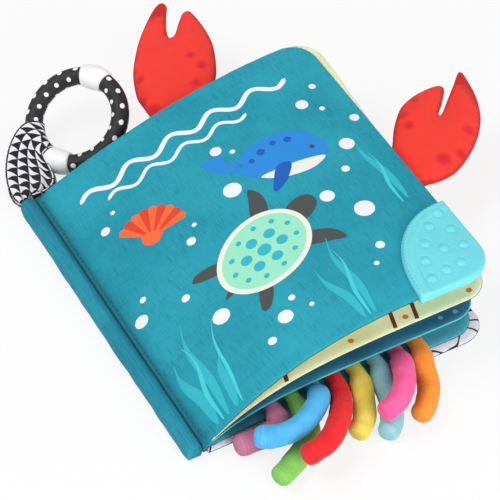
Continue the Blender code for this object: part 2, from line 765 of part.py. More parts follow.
def make_ring():
    """Two tube arcs that plug into two hollow barrel connectors."""
    half = CONNECTOR_LENGTH / 2 / RING_RADIUS
    socket = half - CONNECTOR_SOCKET / RING_RADIUS
    first, last = CONNECTOR_ANGLES
    for name, start, end in (("ring_arc_left", first, last),
                             ("ring_arc_right", last, first + 2 * math.pi)):
        low = start + socket
        high = end - socket
        frames = [ring_frame(low + (high - low) * i / ARC_STEPS) for i in range(ARC_STEPS + 1)]
        tube(name, frames, [RING_TUBE_RADIUS] * len(frames), RING_SIDES, "ring_black")
    for name, middle in (("ring_connector_upper", first), ("ring_connector_lower", last)):
        frames = []
        radii = []
        for step in range(CONNECTOR_STEPS + 1):
            share = 2 * step / CONNECTOR_STEPS - 1
            frames.append(ring_frame(middle + share * half))
            bulge = CONNECTOR_RADIUS - CONNECTOR_END_RADIUS
            radii.append(CONNECTOR_END_RADIUS + bulge * (1 - share ** 2))
        barrel = tube(name, frames, radii, RING_SIDES, "ring_white")
        over = [ring_frame(middle + 2 * (i / 4 - 0.5) * 1.3 * half) for i in range(5)]
        bore = [RING_TUBE_RADIUS + GAP] * len(over)
        cut(barrel, tube("bore", over, bore, RING_SIDES, "ring_white"), "DIFFERENCE")


def make_strap():
    """Cloth sleeve round the ring's arc, and the band that gathers at the spine."""
    steps = STRAP_STEPS
    outer = RING_TUBE_RADIUS + STRAP_RING_CLEARANCE + STRAP_CLOTH
    angles = [STRAP_SLEEVE_ANGLE + STRAP_SLEEVE_SPREAD * (2 * i / steps - 1)
              for i in range(steps + 1)]
    frames = [ring_frame(angle) for angle in angles]
    sleeve = tube("ring_strap", frames, [outer] * len(frames), RING_SIDES, "strap_cloth")

    place, outward, _ = ring_frame(STRAP_SLEEVE_ANGLE)
    along = ring_frame(STRAP_SLEEVE_ANGLE + 0.1)[0] - place
    along.normalize()
    root = strap_root()
    bend = (root + place) / 2 + Vector((-STRAP_SWAY, STRAP_SWAY / 2, 0))
    path = smooth_path([root, bend, place], steps)
    verts = []
    sections = [root_ring(share) for share in STRAP_ROOT_SHARES]
    for i, point in enumerate(path):
        share = i / steps
        ahead = path[min(i + 1, steps)] - path[max(i - 1, 0)]
        level = ahead.cross(Vector((0, 0, 1))).normalized()
        level = level.lerp(-along, share ** 2).normalized()
        up = level.cross(ahead).normalized()
        spread = min(1, share * 1.5)
        spread *= spread * (3 - 2 * spread)
        width = STRAP_ROOT_WIDTH + (STRAP_WIDTH - STRAP_ROOT_WIDTH) * spread
        width *= 1 - (1 - STRAP_MOUTH_SHARE) * max(0, 2 * share - 1)
        thick = STRAP_ROOT_THICKNESS + (STRAP_THICKNESS - STRAP_ROOT_THICKNESS) * share
        sections.append((point, level, up, width, thick))
    for point, level, up, width, thick in sections:
        for step in range(STRAP_SIDES):
            turn = 2 * math.pi * step / STRAP_SIDES
            offset = level * math.cos(turn) * width / 2 + up * math.sin(turn) * thick / 2
            verts.append(point + offset)
    steps = len(sections) - 1
    faces = []
    for ring in range(steps):
        for i in range(STRAP_SIDES):
            j = (i + 1) % STRAP_SIDES
            a = ring * STRAP_SIDES
            faces.append((a + i, a + j, a + STRAP_SIDES + j, a + STRAP_SIDES + i))
    faces.append(tuple(range(STRAP_SIDES)))
    last = steps * STRAP_SIDES
    faces.append(tuple(range(last, last + STRAP_SIDES)))
    band = add_mesh("band", verts, faces, "strap_cloth")
    cut(sleeve, band, "UNION")
    spread = STRAP_SLEEVE_SPREAD * 1.6
    over = [ring_frame(STRAP_SLEEVE_ANGLE + spread * (2 * i / steps - 1))
            for i in range(steps + 1)]
    bore = [RING_TUBE_RADIUS + STRAP_RING_CLEARANCE] * len(over)
    cut(sleeve, tube("bore", over, bore, RING_SIDES, "strap_cloth"), "DIFFERENCE")


def root_ring(share):
    """Section of the strap's rounded root, behind the axis that it swings about."""
    place = strap_root() + Vector((0, share * STRAP_ROOT_WIDTH / 2, 0))
    narrow = math.sqrt(1 - share ** 2)
    level = Vector((1, 0, 0))
    return place, level, Vector((0, 0, 1)), STRAP_ROOT_WIDTH * narrow, STRAP_ROOT_THICKNESS * narrow


def strap_root():
    """Place where the strap's swing axis stands, beside the spine's head end."""
    x = SPINE_X + SPINE_WIDTH / 2
    y = BOOK_HEIGHT / 2 + GAP + STRAP_ROOT_WIDTH / 2
    return Vector((x, y, SPINE_THICKNESS / 2))


# Joints


def hinge_place(rise, back=0):
    """A point on a line that leaves turn about, this far over and behind the sewn groove."""
    x = SPINE_X + SPINE_WIDTH + GAP + BINDING_WIDTH / 2 - back
    top = (len(LEAF_ORDER) - 1) * SEAM_PITCH + HEM
    return Vector((x, 0, top + rise))


def claw_pivots():
    """Place and axis of each claw's fold: the axis runs beside its seam."""
    pivots = {}
    for name, frame in claw_seams().items():
        along = frame.to_3x3() @ Vector((1, 0, 0))
        out = frame.to_3x3() @ Vector((0, 1, 0))
        pivots[name] = (frame.translation + out * CLAW_AXIS_OUT, along)
    return pivots


def joint_axes():
    """Every joint: its parent, a point on its axis, and the axis it turns about."""
    claws = claw_pivots()
    along_spine = Vector((0, 1, 0))
    return {
        "leaf_4": (None, hinge_place(HINGE_RISE), along_spine),
        "leaf_3": ("leaf_4", hinge_place(HINGE_RISE), along_spine),
        "leaf_2": ("leaf_3", hinge_place(SECOND_HINGE_RISE), along_spine),
        "front_cover": ("leaf_2", hinge_place(COVER_HINGE_RISE, COVER_HINGE_BACK), -along_spine),
        "head_claw": ("leaf_2", *claws["head_claw"]),
        "fore_claw": ("leaf_2", *claws["fore_claw"]),
        "strap": (None, strap_root(), Vector((0, 0, 1))),
        "ring": ("strap", ring_centre(), ring_axes()[2]),
    }


def body_of(name):
    """The moving body that a piece belongs to, or None for the part that stays."""
    if name.startswith("tentacle"):
        return "leaf_4"
    if name == "corner_teether":
        return "front_cover"
    if name == "ring_strap":
        return "strap"
    for body in joint_axes():
        if name.startswith(body):
            return body
    return None


def hang_on_pivots():
    """Parent each moving piece to an empty that stands on its joint's axis."""
    pivots = {}
    for body, (parent, place, axis) in joint_axes().items():
        pivot = bpy.data.objects.new(body + "_pivot", None)
        bpy.context.scene.collection.objects.link(pivot)
        turn = Vector((0, 0, 1)).rotation_difference(axis).to_matrix().to_4x4()
        world = Matrix.Translation(place) @ turn
        pivot.parent = pivots.get(parent)
        above = pivot.parent["world"] if parent else None
        pivot.matrix_basis = (Matrix(above).inverted() @ world) if above else world
        pivot["world"] = [list(row) for row in world]
        pivots[body] = pivot
    for thing in list(bpy.data.objects):
        body = body_of(thing.name) if thing.type == "MESH" else None
        if body:
            thing.parent = pivots[body]
            thing.matrix_parent_inverse = Matrix(pivots[body]["world"]).inverted()


def build():
    """Empty the scene and make every piece."""
    for thing in list(bpy.data.objects):
        bpy.data.objects.remove(thing)
    make_leaf("back_cover", "white_cloth", "teal_cloth")
    make_leaf("leaf_4", "turquoise_cloth", "white_cloth")
    make_leaf("leaf_3", "navy_cloth", "turquoise_cloth")
    make_leaf("leaf_2", "cream_cloth", "navy_cloth")
    make_leaf("front_cover", "teal_cloth", "cream_cloth")
    make_spine()
    make_claws()
    make_teether()
    make_tentacles()
    make_ring()
    make_strap()
    hang_on_pivots()


build()
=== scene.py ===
"""Looks of the crinkle cloth book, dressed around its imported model."""

import math

import bmesh
import bpy
import numpy as np
from mathutils import Matrix, Vector, geometry, noise


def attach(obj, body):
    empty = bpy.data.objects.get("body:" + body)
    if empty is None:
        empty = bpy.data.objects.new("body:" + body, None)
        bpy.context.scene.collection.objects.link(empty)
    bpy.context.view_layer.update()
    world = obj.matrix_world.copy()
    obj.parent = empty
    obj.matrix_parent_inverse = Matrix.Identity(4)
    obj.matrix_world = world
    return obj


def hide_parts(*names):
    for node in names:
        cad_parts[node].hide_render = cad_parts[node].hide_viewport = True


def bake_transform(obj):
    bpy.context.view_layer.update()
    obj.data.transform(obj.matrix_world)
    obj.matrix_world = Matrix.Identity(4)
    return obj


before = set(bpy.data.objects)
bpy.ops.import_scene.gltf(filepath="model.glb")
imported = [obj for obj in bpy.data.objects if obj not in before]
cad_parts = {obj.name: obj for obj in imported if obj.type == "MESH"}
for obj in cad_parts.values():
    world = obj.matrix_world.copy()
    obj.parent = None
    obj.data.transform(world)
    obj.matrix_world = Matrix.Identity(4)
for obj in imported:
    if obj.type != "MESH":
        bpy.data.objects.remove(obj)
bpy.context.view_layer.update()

MM = 0.001

# Sizes shared with the construction
BOOK_WIDTH = 180 * MM
BOOK_HEIGHT = 196 * MM
SPINE_X = -BOOK_WIDTH / 2
CLOTH = 0.6 * MM
GAP = 0.3 * MM
SPINE_WIDTH = 9.5 * MM
SPINE_THICKNESS = 12 * MM
SPINE_FOOT_SHARE = 0.7
BINDING_WIDTH = 2.4 * MM
HEM = 2 * CLOTH + GAP
SEAM_PITCH = HEM + GAP
LEAF_START = SPINE_X + SPINE_WIDTH + BINDING_WIDTH + 2 * GAP
CORNER_RADIUS = 15 * MM
CROWN_REACH = 30 * MM
HINGE_CROWN_SHARE = 0.5
# Lifts and springs are given at the tail and at the head, cloths front first
LEAVES = {
    "back_cover": {"short": 1 * MM, "inset": 0, "thickness": 4 * MM,
                   "lift": (0, 0), "spring": (1, 1),
                   "cloths": ("white_cloth", "teal_cloth")},
    "leaf_4": {"short": 6.5 * MM, "inset": 1.5 * MM, "thickness": 3.7 * MM,
               "lift": (4.2 * MM, 8 * MM), "spring": (8, 4),
               "cloths": ("turquoise_cloth", "white_cloth")},
    "leaf_3": {"short": 7 * MM, "inset": 1.5 * MM, "thickness": 3.8 * MM,
               "lift": (16.5 * MM, 22 * MM), "spring": (6.5, 2.2),
               "cloths": ("navy_cloth", "turquoise_cloth")},
    "leaf_2": {"short": 1.5 * MM, "inset": 0.5 * MM, "thickness": 3.8 * MM,
               "lift": (28 * MM, 33.5 * MM), "spring": (4.6, 1.9),
               "cloths": ("cream_cloth", "navy_cloth")},
    "front_cover": {"short": 4 * MM, "inset": 0, "thickness": 4.5 * MM,
                    "lift": (44.5 * MM, 43 * MM), "spring": (3.3, 1.9),
                    "cloths": ("teal_cloth", "cream_cloth")},
}
LEAF_ORDER = tuple(LEAVES)
BODIES = {"back_cover": "book_base"}

# Fine form of the cloth panels
PANEL_PITCH = 3.2 * MM
PANEL_ROWS = 60
PANEL_CORNER_STEPS = 9
PANEL_CLOTH = 0.5 * MM
# How far out each ring of a panel's curled rim lies, and the share of its height that is left
PANEL_CURLS = ((0.26 * MM, 0.62), (0.36 * MM, 0.16))
WEB_STEP = 1.2 * MM
SEAM_X = SPINE_X + SPINE_WIDTH + 0.1 * MM
GROOVE_X = SPINE_X + SPINE_WIDTH + 2 * MM
# Band of painted shade along the groove beside the spine: its middle, its reach and its darkest
# share
GROOVE_MIDDLE = SPINE_X + SPINE_WIDTH + 0.5 * MM
GROOVE_REACH = 3.6 * MM
GROOVE_PAINTED_SHADE = 0.7
GROOVE_THREAD_RADIUS = 0.27 * MM
# The lining peeks out past the cover's fore edge, more towards the head
FORE_PEEK = 4 * MM
PEEK_DEPTH = 30 * MM
PEEK_START = 5 * MM
PEEK_RUN = 80 * MM


def linear(red, green, blue):
    """Linear colour of one given in sRGB from 0 to 255."""
    def channel(value):
        share = value / 255
        return share / 12.92 if share <= 0.04045 else ((share + 0.055) / 1.055) ** 2.4
    return channel(red), channel(green), channel(blue), 1


class Look:
    """A Principled material, with short ways to wire its nodes."""

    def __init__(self, name, roughness, sheen=0):
        self.material = bpy.data.materials.new(name)
        self.material.use_nodes = True
        self.tree = self.material.node_tree
        self.shader = self.tree.nodes["Principled BSDF"]
        self.set("Roughness", roughness)
        self.set("Sheen Weight", sheen)

    def set(self, socket, value):
        self.shader.inputs[socket].default_value = value

    def wire(self, value, socket):
        if isinstance(value, bpy.types.NodeSocket):
            self.tree.links.new(value, socket)
        else:
            socket.default_value = value

    def calc(self, operation, *values):
        node = self.tree.nodes.new("ShaderNodeMath")
        node.operation = operation
        for value, socket in zip(values, node.inputs):
            self.wire(value, socket)
        return node.outputs[0]

    def mix(self, factor, one, two):
        node = self.tree.nodes.new("ShaderNodeMix")
        node.data_type = "RGBA"
        self.wire(factor, node.inputs[0])
        self.wire(one, node.inputs[6])
        self.wire(two, node.inputs[7])
        return node.outputs[2]

    def cloth(self, across=1, along=1):
        """The piece's own cloth coordinates in metres, stretched."""
        uv = self.tree.nodes.new("ShaderNodeUVMap")
        uv.uv_map = "cloth"
        mapping = self.tree.nodes.new("ShaderNodeMapping")
        mapping.inputs["Scale"].default_value = (across, along, 1)
        self.tree.links.new(uv.outputs[0], mapping.inputs["Vector"])
        return mapping.outputs[0]

    def parts(self, vector):
        node = self.tree.nodes.new("ShaderNodeSeparateXYZ")
        self.tree.links.new(vector, node.inputs[0])
        return node.outputs

    def noise(self, vector, scale, detail=2):
        node = self.tree.nodes.new("ShaderNodeTexNoise")
        self.tree.links.new(vector, node.inputs["Vector"])
        node.inputs["Scale"].default_value = scale
        node.inputs["Detail"].default_value = detail
        return node.outputs[0]

    def cells(self, vector, scale, randomness):
        """Distance to the nearest of many scattered points."""
        node = self.tree.nodes.new("ShaderNodeTexVoronoi")
        self.tree.links.new(vector, node.inputs["Vector"])
        node.inputs["Scale"].default_value = scale
        node.inputs["Randomness"].default_value = randomness
        return node.outputs["Distance"]

    def step(self, value, low, high, top=1):
        """Smooth step from 0 at low to top at high."""
        node = self.tree.nodes.new("ShaderNodeMapRange")
        node.interpolation_type = "SMOOTHSTEP"
        for number, socket in zip((value, low, high, 0, top), node.inputs):
            self.wire(number, socket)
        return node.outputs[0]

    def attribute(self, name):
        node = self.tree.nodes.new("ShaderNodeAttribute")
        node.attribute_name = name
        return node.outputs["Fac"]

    def paint(self, colour):
        self.wire(colour, self.shader.inputs["Base Color"])

    def bump(self, height, distance, strength=1):
        node = self.tree.nodes.new("ShaderNodeBump")
        node.inputs["Distance"].default_value = distance
        node.inputs["Strength"].default_value = strength
        self.wire(height, node.inputs["Height"])
        self.tree.links.new(node.outputs[0], self.shader.inputs["Normal"])

    def weave(self, pitch):
        """Height of a plain weave with that thread pitch."""
        across, along, _ = self.parts(self.cloth(math.pi / pitch, math.pi / pitch))
        return self.calc("MULTIPLY", self.calc("SINE", across), self.calc("SINE", along))

    def hatch(self, strong):
        """Mask of fine broken threads that run both ways, as printed linen has."""
        fine, long = 1 / (0.5 * MM), 1 / (9 * MM)
        upright = self.step(self.noise(self.cloth(fine, long), 1), 0.46, 0.72)
        level = self.step(self.noise(self.cloth(long, fine), 1), 0.48, 0.74)
        patch = self.step(self.noise(self.cloth(), 1 / (20 * MM)), 0.34, 0.66)
        both = self.calc("MAXIMUM", upright, self.calc("MULTIPLY", level, 0.8))
        shared = self.calc("ADD", self.calc("MULTIPLY", patch, 0.55), 0.45)
        return self.calc("MULTIPLY", self.calc("MULTIPLY", both, shared), strong)


# Materials

CLOTH_ROUGHNESS = 0.85
CLOTH_SHEEN = 0.02
THREAD_PITCH = 0.55 * MM
THREAD_RISE = 0.06 * MM
# Share of a colour's brightness that is left where ink shows the threads under it
INK_SHADE = 0.72


def darker(colour, share):
    """A colour with its brightness cut to that share."""
    return [channel * share for channel in colour[:3]] + [1]


def woven(name, sheen=CLOTH_SHEEN):
    """Start of the look of a dull printed cloth."""
    look = Look(name, CLOTH_ROUGHNESS, sheen)
    look.set("Specular IOR Level", 0.3)
    return look


def linen(name, light, deep, thread, strong, streaks=False):
    """Printed woven cloth: a washed ground with darker broken threads, and painted shade in the
    groove beside the spine.
    """
    look = woven(name)
    wash = look.step(look.noise(look.cloth(), 1 / (60 * MM), 3), 0.3, 0.7)
    ground = look.mix(wash, light, deep)
    if streaks:
        along = look.noise(look.cloth(1 / (0.7 * MM), 1 / (60 * MM)), 1, 2)
        ground = look.mix(look.step(along, 0.44, 0.76, 0.35), ground, thread)
    # Painted shade: the cloth darkens towards the thread colour where the groove mark is set
    painted_groove_shade = look.mix(look.attribute("groove"), ground, thread)
    look.paint(look.mix(look.hatch(strong), painted_groove_shade, thread))
    look.bump(look.weave(THREAD_PITCH), THREAD_RISE)
    return look.material


def dotted_cloth(name, ground, shade, dot, spacing, radius, thread_strong):
    """Cloth with scattered round dots."""
    look = woven(name)
    wash = look.step(look.noise(look.cloth(), 1 / (50 * MM), 3), 0.3, 0.7)
    base = look.mix(look.hatch(thread_strong), look.mix(wash, ground, shade), shade)
    far = look.cells(look.cloth(), 1 / spacing, 0.75)
    size = radius / spacing
    inside = look.step(far, size * 1.08, size * 0.92)
    look.paint(look.mix(inside, base, dot))
    look.bump(look.weave(THREAD_PITCH), THREAD_RISE)
    return look.material


def waves_cloth():
    """White cloth with thin black lines that wander like ripples."""
    look = Look("white_waves", CLOTH_ROUGHNESS, CLOTH_SHEEN)
    across, along, _ = look.parts(look.cloth())
    drift = look.noise(look.cloth(1 / (16 * MM), 1 / (28 * MM)), 1, 1)
    swing = look.calc("MULTIPLY", look.calc("SUBTRACT", drift, 0.5), 22 * MM)
    beat = look.calc("MULTIPLY", look.calc("SINE", look.calc("MULTIPLY", across, 300)), 2 * MM)
    level = look.calc("ADD", look.calc("ADD", along, swing), beat)
    row = look.calc("FRACT", look.calc("MULTIPLY", level, 1 / (9 * MM)))
    near = look.calc("ABSOLUTE", look.calc("SUBTRACT", row, 0.5))
    line = look.step(near, 0.1, 0.07)
    look.paint(look.mix(line, linear(236, 236, 244), linear(38, 38, 44)))
    look.bump(look.weave(THREAD_PITCH), THREAD_RISE)
    return look.material


def print_ink(name, colour):
    """Ink on the woven cover, which shows the threads under it."""
    look = woven("print_" + name, sheen=0)
    look.paint(look.mix(look.hatch(0.16), colour, darker(colour, INK_SHADE)))
    look.bump(look.weave(THREAD_PITCH), 0.05 * MM)
    return look.material


def felt():
    """Short red felt with soft darker spots, and painted shadow along its rim."""
    look = Look("claw_felt", 0.94, sheen=0.05)
    cloud = look.noise(look.cloth(), 1 / (9 * MM), 4)
    red = look.mix(cloud, linear(250, 62, 48), linear(244, 48, 38))
    spotted = look.mix(look.attribute("spot"), red, linear(222, 26, 36))
    # Painted shadow: darker red along the rim, where the seam's shadow falls
    look.paint(look.mix(look.attribute("edge"), spotted, linear(204, 30, 28)))
    look.bump(look.noise(look.cloth(), 1 / (0.7 * MM), 3), 0.12 * MM, 0.6)
    return look.material


def plush(name, colour, shade):
    """Short ribbed plush, painted darker in the grooves between its ribs as shade."""
    look = Look("plush_" + name, 0.95, sheen=0.12)
    look.set("Sheen Roughness", 0.45)
    cloud = look.noise(look.cloth(), 1 / (7 * MM), 4)
    rib = look.attribute("rib")
    mottled = look.mix(look.step(cloud, 0.3, 0.75, 0.45), colour, shade)
    # Painted shade: the grooves between the ribs are mixed towards the darker colour
    look.paint(look.mix(look.calc("MULTIPLY", rib, 0.42), mottled, shade))
    look.bump(look.noise(look.cloth(), 1 / (0.5 * MM), 3), 0.15 * MM, 0.7)
    return look.material


def triangle_print():
    """White cloth with rows of black triangles between thin black lines."""
    look = Look("triangle_cloth", 0.88, CLOTH_SHEEN)
    across, along, _ = look.parts(look.cloth(1 / (7 * MM), 1 / (6 * MM)))
    left = look.calc("FRACT", across)
    up = look.calc("FRACT", along)
    black = look.step(look.calc("SUBTRACT", up, left), -0.03, 0.03)
    from_column = look.calc("ABSOLUTE", look.calc("SUBTRACT", left, 0.5))
    from_row = look.calc("ABSOLUTE", look.calc("SUBTRACT", up, 0.5))
    line = look.step(look.calc("MAXIMUM", from_column, from_row), 0.44, 0.47)
    ink = look.calc("MAXIMUM", black, line)
    look.paint(look.mix(ink, linear(236, 234, 242), linear(22, 20, 26)))
    look.bump(look.weave(0.6 * MM), THREAD_RISE)
    return look.material


def plain(name, colour, roughness, grain, depth, shade=0.88, sockets=()):
    """A moulded or spun material with a faint cloud of colour and a fine grain."""
    look = Look(name, roughness)
    place = look.tree.nodes.new("ShaderNodeTexCoord").outputs["Object"]
    cloud = look.step(look.noise(place, 1 / (18 * MM), 3), 0.35, 0.7)
    look.paint(look.mix(cloud, colour, darker(colour, shade)))
    look.bump(look.noise(place, 1 / grain, 2), depth, 0.5)
    for socket, value in sockets:
        look.set(socket, value)
    return look.material


MATERIALS = {
    "teal_cloth": linen("teal_linen", linear(40, 165, 186), linear(28, 150, 172),
                        linear(10, 84, 104), 0.42),
    "spine_cloth": linen("spine_linen", linear(38, 156, 178), linear(24, 140, 163),
                         linear(8, 74, 96), 0.36, streaks=True),
    "cream_cloth": dotted_cloth("cream_dots", linear(240, 243, 204), linear(228, 234, 186),
                                linear(238, 122, 60), 24 * MM, 2.1 * MM, 0.12),
    "navy_cloth": dotted_cloth("navy_dots", linear(48, 128, 156), linear(34, 104, 132),
                               linear(96, 150, 174), 21 * MM, 2 * MM, 0.4),
    "turquoise_cloth": linen("turquoise_linen", linear(78, 176, 192), linear(64, 158, 178),
                             linear(40, 124, 146), 0.4),
    "white_cloth": waves_cloth(),
    "foam": plain("foam", linear(240, 240, 234), 0.95, 0.6 * MM, 0.3 * MM),
    "film": plain("crinkle_film", linear(222, 228, 238), 0.12, 4 * MM, 0.2 * MM, 0.96,
                  (("Alpha", 0.6),)),
    "claw_red": felt(),
    "silicone_blue": plain("teether_silicone", linear(112, 216, 226), 0.45, 1.2 * MM, 0.02 * MM,
                           0.97, (("Subsurface Weight", 0.25),
                                  ("Subsurface Radius", (0.4, 0.9, 1)),
                                  ("Subsurface Scale", 2 * MM))),
    "ring_black": plain("ring_matte", linear(27, 27, 29), 0.6, 0.8 * MM, 0.02 * MM),
    "ring_white": plain("ring_satin", linear(246, 246, 246), 0.4, 1 * MM, 0.02 * MM, 0.98),
    "strap_cloth": triangle_print(),
}
PLUSH_COLOURS = {
    "mauve": (linear(206, 126, 162), linear(160, 86, 112)),
    "green": (linear(140, 206, 98), linear(104, 172, 66)),
    "blue": (linear(88, 188, 238), linear(48, 146, 208)),
    "red": (linear(240, 36, 42), linear(192, 14, 20)),
    "yellow": (linear(236, 220, 98), linear(206, 186, 58)),
    "light_blue": (linear(152, 204, 214), linear(116, 174, 186)),
    "pink": (linear(252, 106, 164), linear(224, 58, 126)),
    "orange": (linear(250, 156, 58), linear(224, 124, 34)),
}
THREAD_COLOURS = {
    # The dark seam thread is partly thread and partly painted shadow of the gap between a leaf's
    # panels
    "seam_thread": linear(52, 44, 44),
    "groove_thread": linear(18, 96, 104),
    "hem_thread": linear(84, 196, 204),
    "teether_thread": linear(64, 172, 188),
}
for colour, shades in PLUSH_COLOURS.items():
    MATERIALS["plush_" + colour] = plush(colour, *shades)
for thread, colour in THREAD_COLOURS.items():
    MATERIALS[thread] = plain(thread, colour, 0.7, 0.4 * MM, 0.08 * MM, 0.8)


# Mesh helpers


def add_piece(name, verts, faces, look, coords=None):
    """Add a smooth mesh piece, with cloth coordinates in metres."""
    mesh = bpy.data.meshes.new(name)
    mesh.from_pydata([tuple(v) for v in verts], [], faces)
    mesh.shade_smooth()
    mesh.materials.append(look)
    layer = mesh.uv_layers.new(name="cloth")
    for loop in mesh.loops:
        spot = coords[loop.vertex_index] if coords else verts[loop.vertex_index]
        layer.data[loop.index].uv = (spot[0], spot[1])
    thing = bpy.data.objects.new(name, mesh)
    bpy.context.scene.collection.objects.link(thing)
    return thing


def face_out(thing):
    """Turn a closed mesh's faces outward."""
    work = bmesh.new()
    work.from_mesh(thing.data)
    bmesh.ops.recalc_face_normals(work, faces=work.faces)
    work.to_mesh(thing.data)
    work.free()


def thicken(thing, offset):
    """Give a sheet its cloth's thickness: on its inner side at -1, on both sides at 0."""
    modifier = thing.modifiers.new("Thickness", "SOLIDIFY")
    modifier.thickness = PANEL_CLOTH
    modifier.offset = offset


def mark_verts(thing, name, values):
    """Give each vertex a number, which a look reads by that name."""
    layer = thing.data.attributes.new(name, "FLOAT", "POINT")
    layer.data.foreach_set("value", values)


def paint_groove_shade(thing):
    """Mark the cloth near the groove beside the spine for painted shade, darkest along the groove's
    middle.
    """
    away = [(vert.co.x - GROOVE_MIDDLE) / GROOVE_REACH for vert in thing.data.vertices]
    mark_verts(thing, "groove", [GROOVE_PAINTED_SHADE * math.exp(-far * far) for far in away])


def dress(thing, body, slot, *nodes):
    """Let a piece ride on a body in place of its plain solids."""
    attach(thing, body)
    if nodes:
        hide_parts(*nodes)


def ease(value):
    """Smooth step from 0 at 0 to 1 at 1."""
    value = min(max(value, 0), 1)
    return value * value * (3 - 2 * value)


def wobble(x, y, size, seed):
    """Smooth noise from -1 to 1 over a plane, with bumps of about that size."""
    return noise.noise(Vector((x / size, y / size, seed)))


def ring_faces(a, b, sides):
    """Faces between two rings of verts that start at a and at b."""
    ahead = [(i + 1) % sides for i in range(sides)]
    return [(a + i, a + j, b + j, b + i) for i, j in enumerate(ahead)]


def tube_faces(rings, sides):
    """Faces of a capped tube made of rings of verts."""
    faces = []
    for ring in range(rings - 1):
        faces += ring_faces(ring * sides, (ring + 1) * sides, sides)
    last = (rings - 1) * sides
    return faces + [tuple(range(sides)), tuple(range(last, last + sides))]


def tube_mesh(frames, radii, sides):
    """Verts and faces of a capped tube through (place, side, up) frames."""
    verts = []
    for (place, side, up), radius in zip(frames, radii):
        for step in range(sides):
            turn = 2 * math.pi * step / sides
            verts.append(place + (side * math.cos(turn) + up * math.sin(turn)) * radius)
    return verts, tube_faces(len(frames), sides)


def ahead_at(points, i):
    """Direction of an open line of points at one of them."""
    return points[min(i + 1, len(points) - 1)] - points[max(i - 1, 0)]


def path_frames(points):
    """Frames along a path, each with its side level."""
    frames = []
    for i, place in enumerate(points):
        ahead = ahead_at(points, i)
        side = ahead.cross(Vector((0, 0, 1))).normalized()
        frames.append((place, side, side.cross(ahead).normalized()))
    return frames


def thread_mesh(runs, radius):
    """Verts and faces of many short thread tubes, each along its own points."""
    verts = []
    faces = []
    for points in runs:
        radii = [radius] * len(points)
        if len(points) > 3:
            radii[0] = radii[-1] = radius * 0.5
        run_verts, run_faces = tube_mesh(path_frames(points), radii, 6)
        faces += [tuple(v + len(verts) for v in face) for face in run_faces]
        verts += run_verts
    return verts, faces


def thread_run(name, runs, radius, look, body):
    """One piece of thread that rides on a body."""
    verts, faces = thread_mesh(runs, radius)
    thing = add_piece(name, verts, faces, look)
    face_out(thing)
    dress(thing, body, None)


def smooth_curve(points, steps, closed=False):
    """Points of a Catmull-Rom curve through the given ones."""
    count = len(points)
    if closed:
        padded = [points[-1]] + list(points) + [points[0], points[1]]
        spans = count
    else:
        padded = [2 * points[0] - points[1]] + list(points) + [2 * points[-1] - points[-2]]
        spans = count - 1
    fine = []
    for i in range(spans):
        a, b, c, d = padded[i:i + 4]
        for step in range(steps):
            t = step / steps
            fine.append(0.5 * (2 * b + (c - a) * t + (2 * a - 5 * b + 4 * c - d) * t * t
                               + (3 * b - a - 3 * c + d) * t ** 3))
    if not closed:
        fine.append(points[-1])
    return fine


def walk(points, distances):
    """Points at those distances along a line of points."""
    lengths = [0]
    for a, b in zip(points, points[1:]):
        lengths.append(lengths[-1] + (b - a).length)
    spaced = []
    at = 0
    for goal in distances:
        while at < len(points) - 2 and lengths[at + 1] < goal:
            at += 1
        share = (goal - lengths[at]) / (lengths[at + 1] - lengths[at])
        spaced.append(points[at].lerp(points[at + 1], min(max(share, 0), 1)))
    return spaced


def path_length(points):
    return sum((b - a).length for a, b in zip(points, points[1:]))


# Leaves

SEAM_THREAD_RADIUS = 0.26 * MM
HEM_THREAD_RADIUS = 0.55 * MM
# Foam and film inside a leaf
INNER_START = LEAF_START + 26 * MM
INNER_INSET = 13 * MM
INNER_PITCH = 7 * MM
INNER_ROWS = 26
FILM_THICKNESS = 0.2 * MM
FILM_CRINKLE = 0.08 * MM


def leaf_end(leaf):
    return SPINE_X + BOOK_WIDTH - LEAVES[leaf]["short"]


def leaf_half(leaf):
    return BOOK_HEIGHT / 2 - LEAVES[leaf]["inset"]


def edge_in(leaf, x, y):
    """Distance in from a leaf's free edges, round its corners."""
    to_fore = leaf_end(leaf) - x
    to_side = leaf_half(leaf) - abs(y)
    if to_fore < CORNER_RADIUS and to_side < CORNER_RADIUS:
        corner = math.hypot(CORNER_RADIUS - to_fore, CORNER_RADIUS - to_side)
        return max(0, CORNER_RADIUS - corner)
    return max(0, min(to_fore, to_side))


def thickness_at(leaf, x, y):
    """Thickness of a leaf: a hem that swells over the crown's reach."""
    inward = min((x - LEAF_START) * HINGE_CROWN_SHARE, edge_in(leaf, x, y))
    share = min(max(inward, 0) / CROWN_REACH, 1)
    return HEM + (LEAVES[leaf]["thickness"] - HEM) * (1 - (1 - share) ** 2)


def middle_at(leaf, x, y):
    """Height of the middle of a leaf, which springs up from the seam."""
    spec = LEAVES[leaf]
    if leaf == "back_cover":
        return thickness_at(leaf, x, y) / 2
    level = LEAF_ORDER.index(leaf) * SEAM_PITCH + HEM / 2
    along = min(max((x - LEAF_START) / (leaf_end(leaf) - LEAF_START), 0), 1)
    across = min(max(0.5 + y / (2 * leaf_half(leaf)), 0), 1)
    lift = spec["lift"][0] * (1 - across) + spec["lift"][1] * across
    spring = spec["spring"][0] * (1 - across) + spec["spring"][1] * across
    return level + lift * (1 - (1 - along) ** spring)


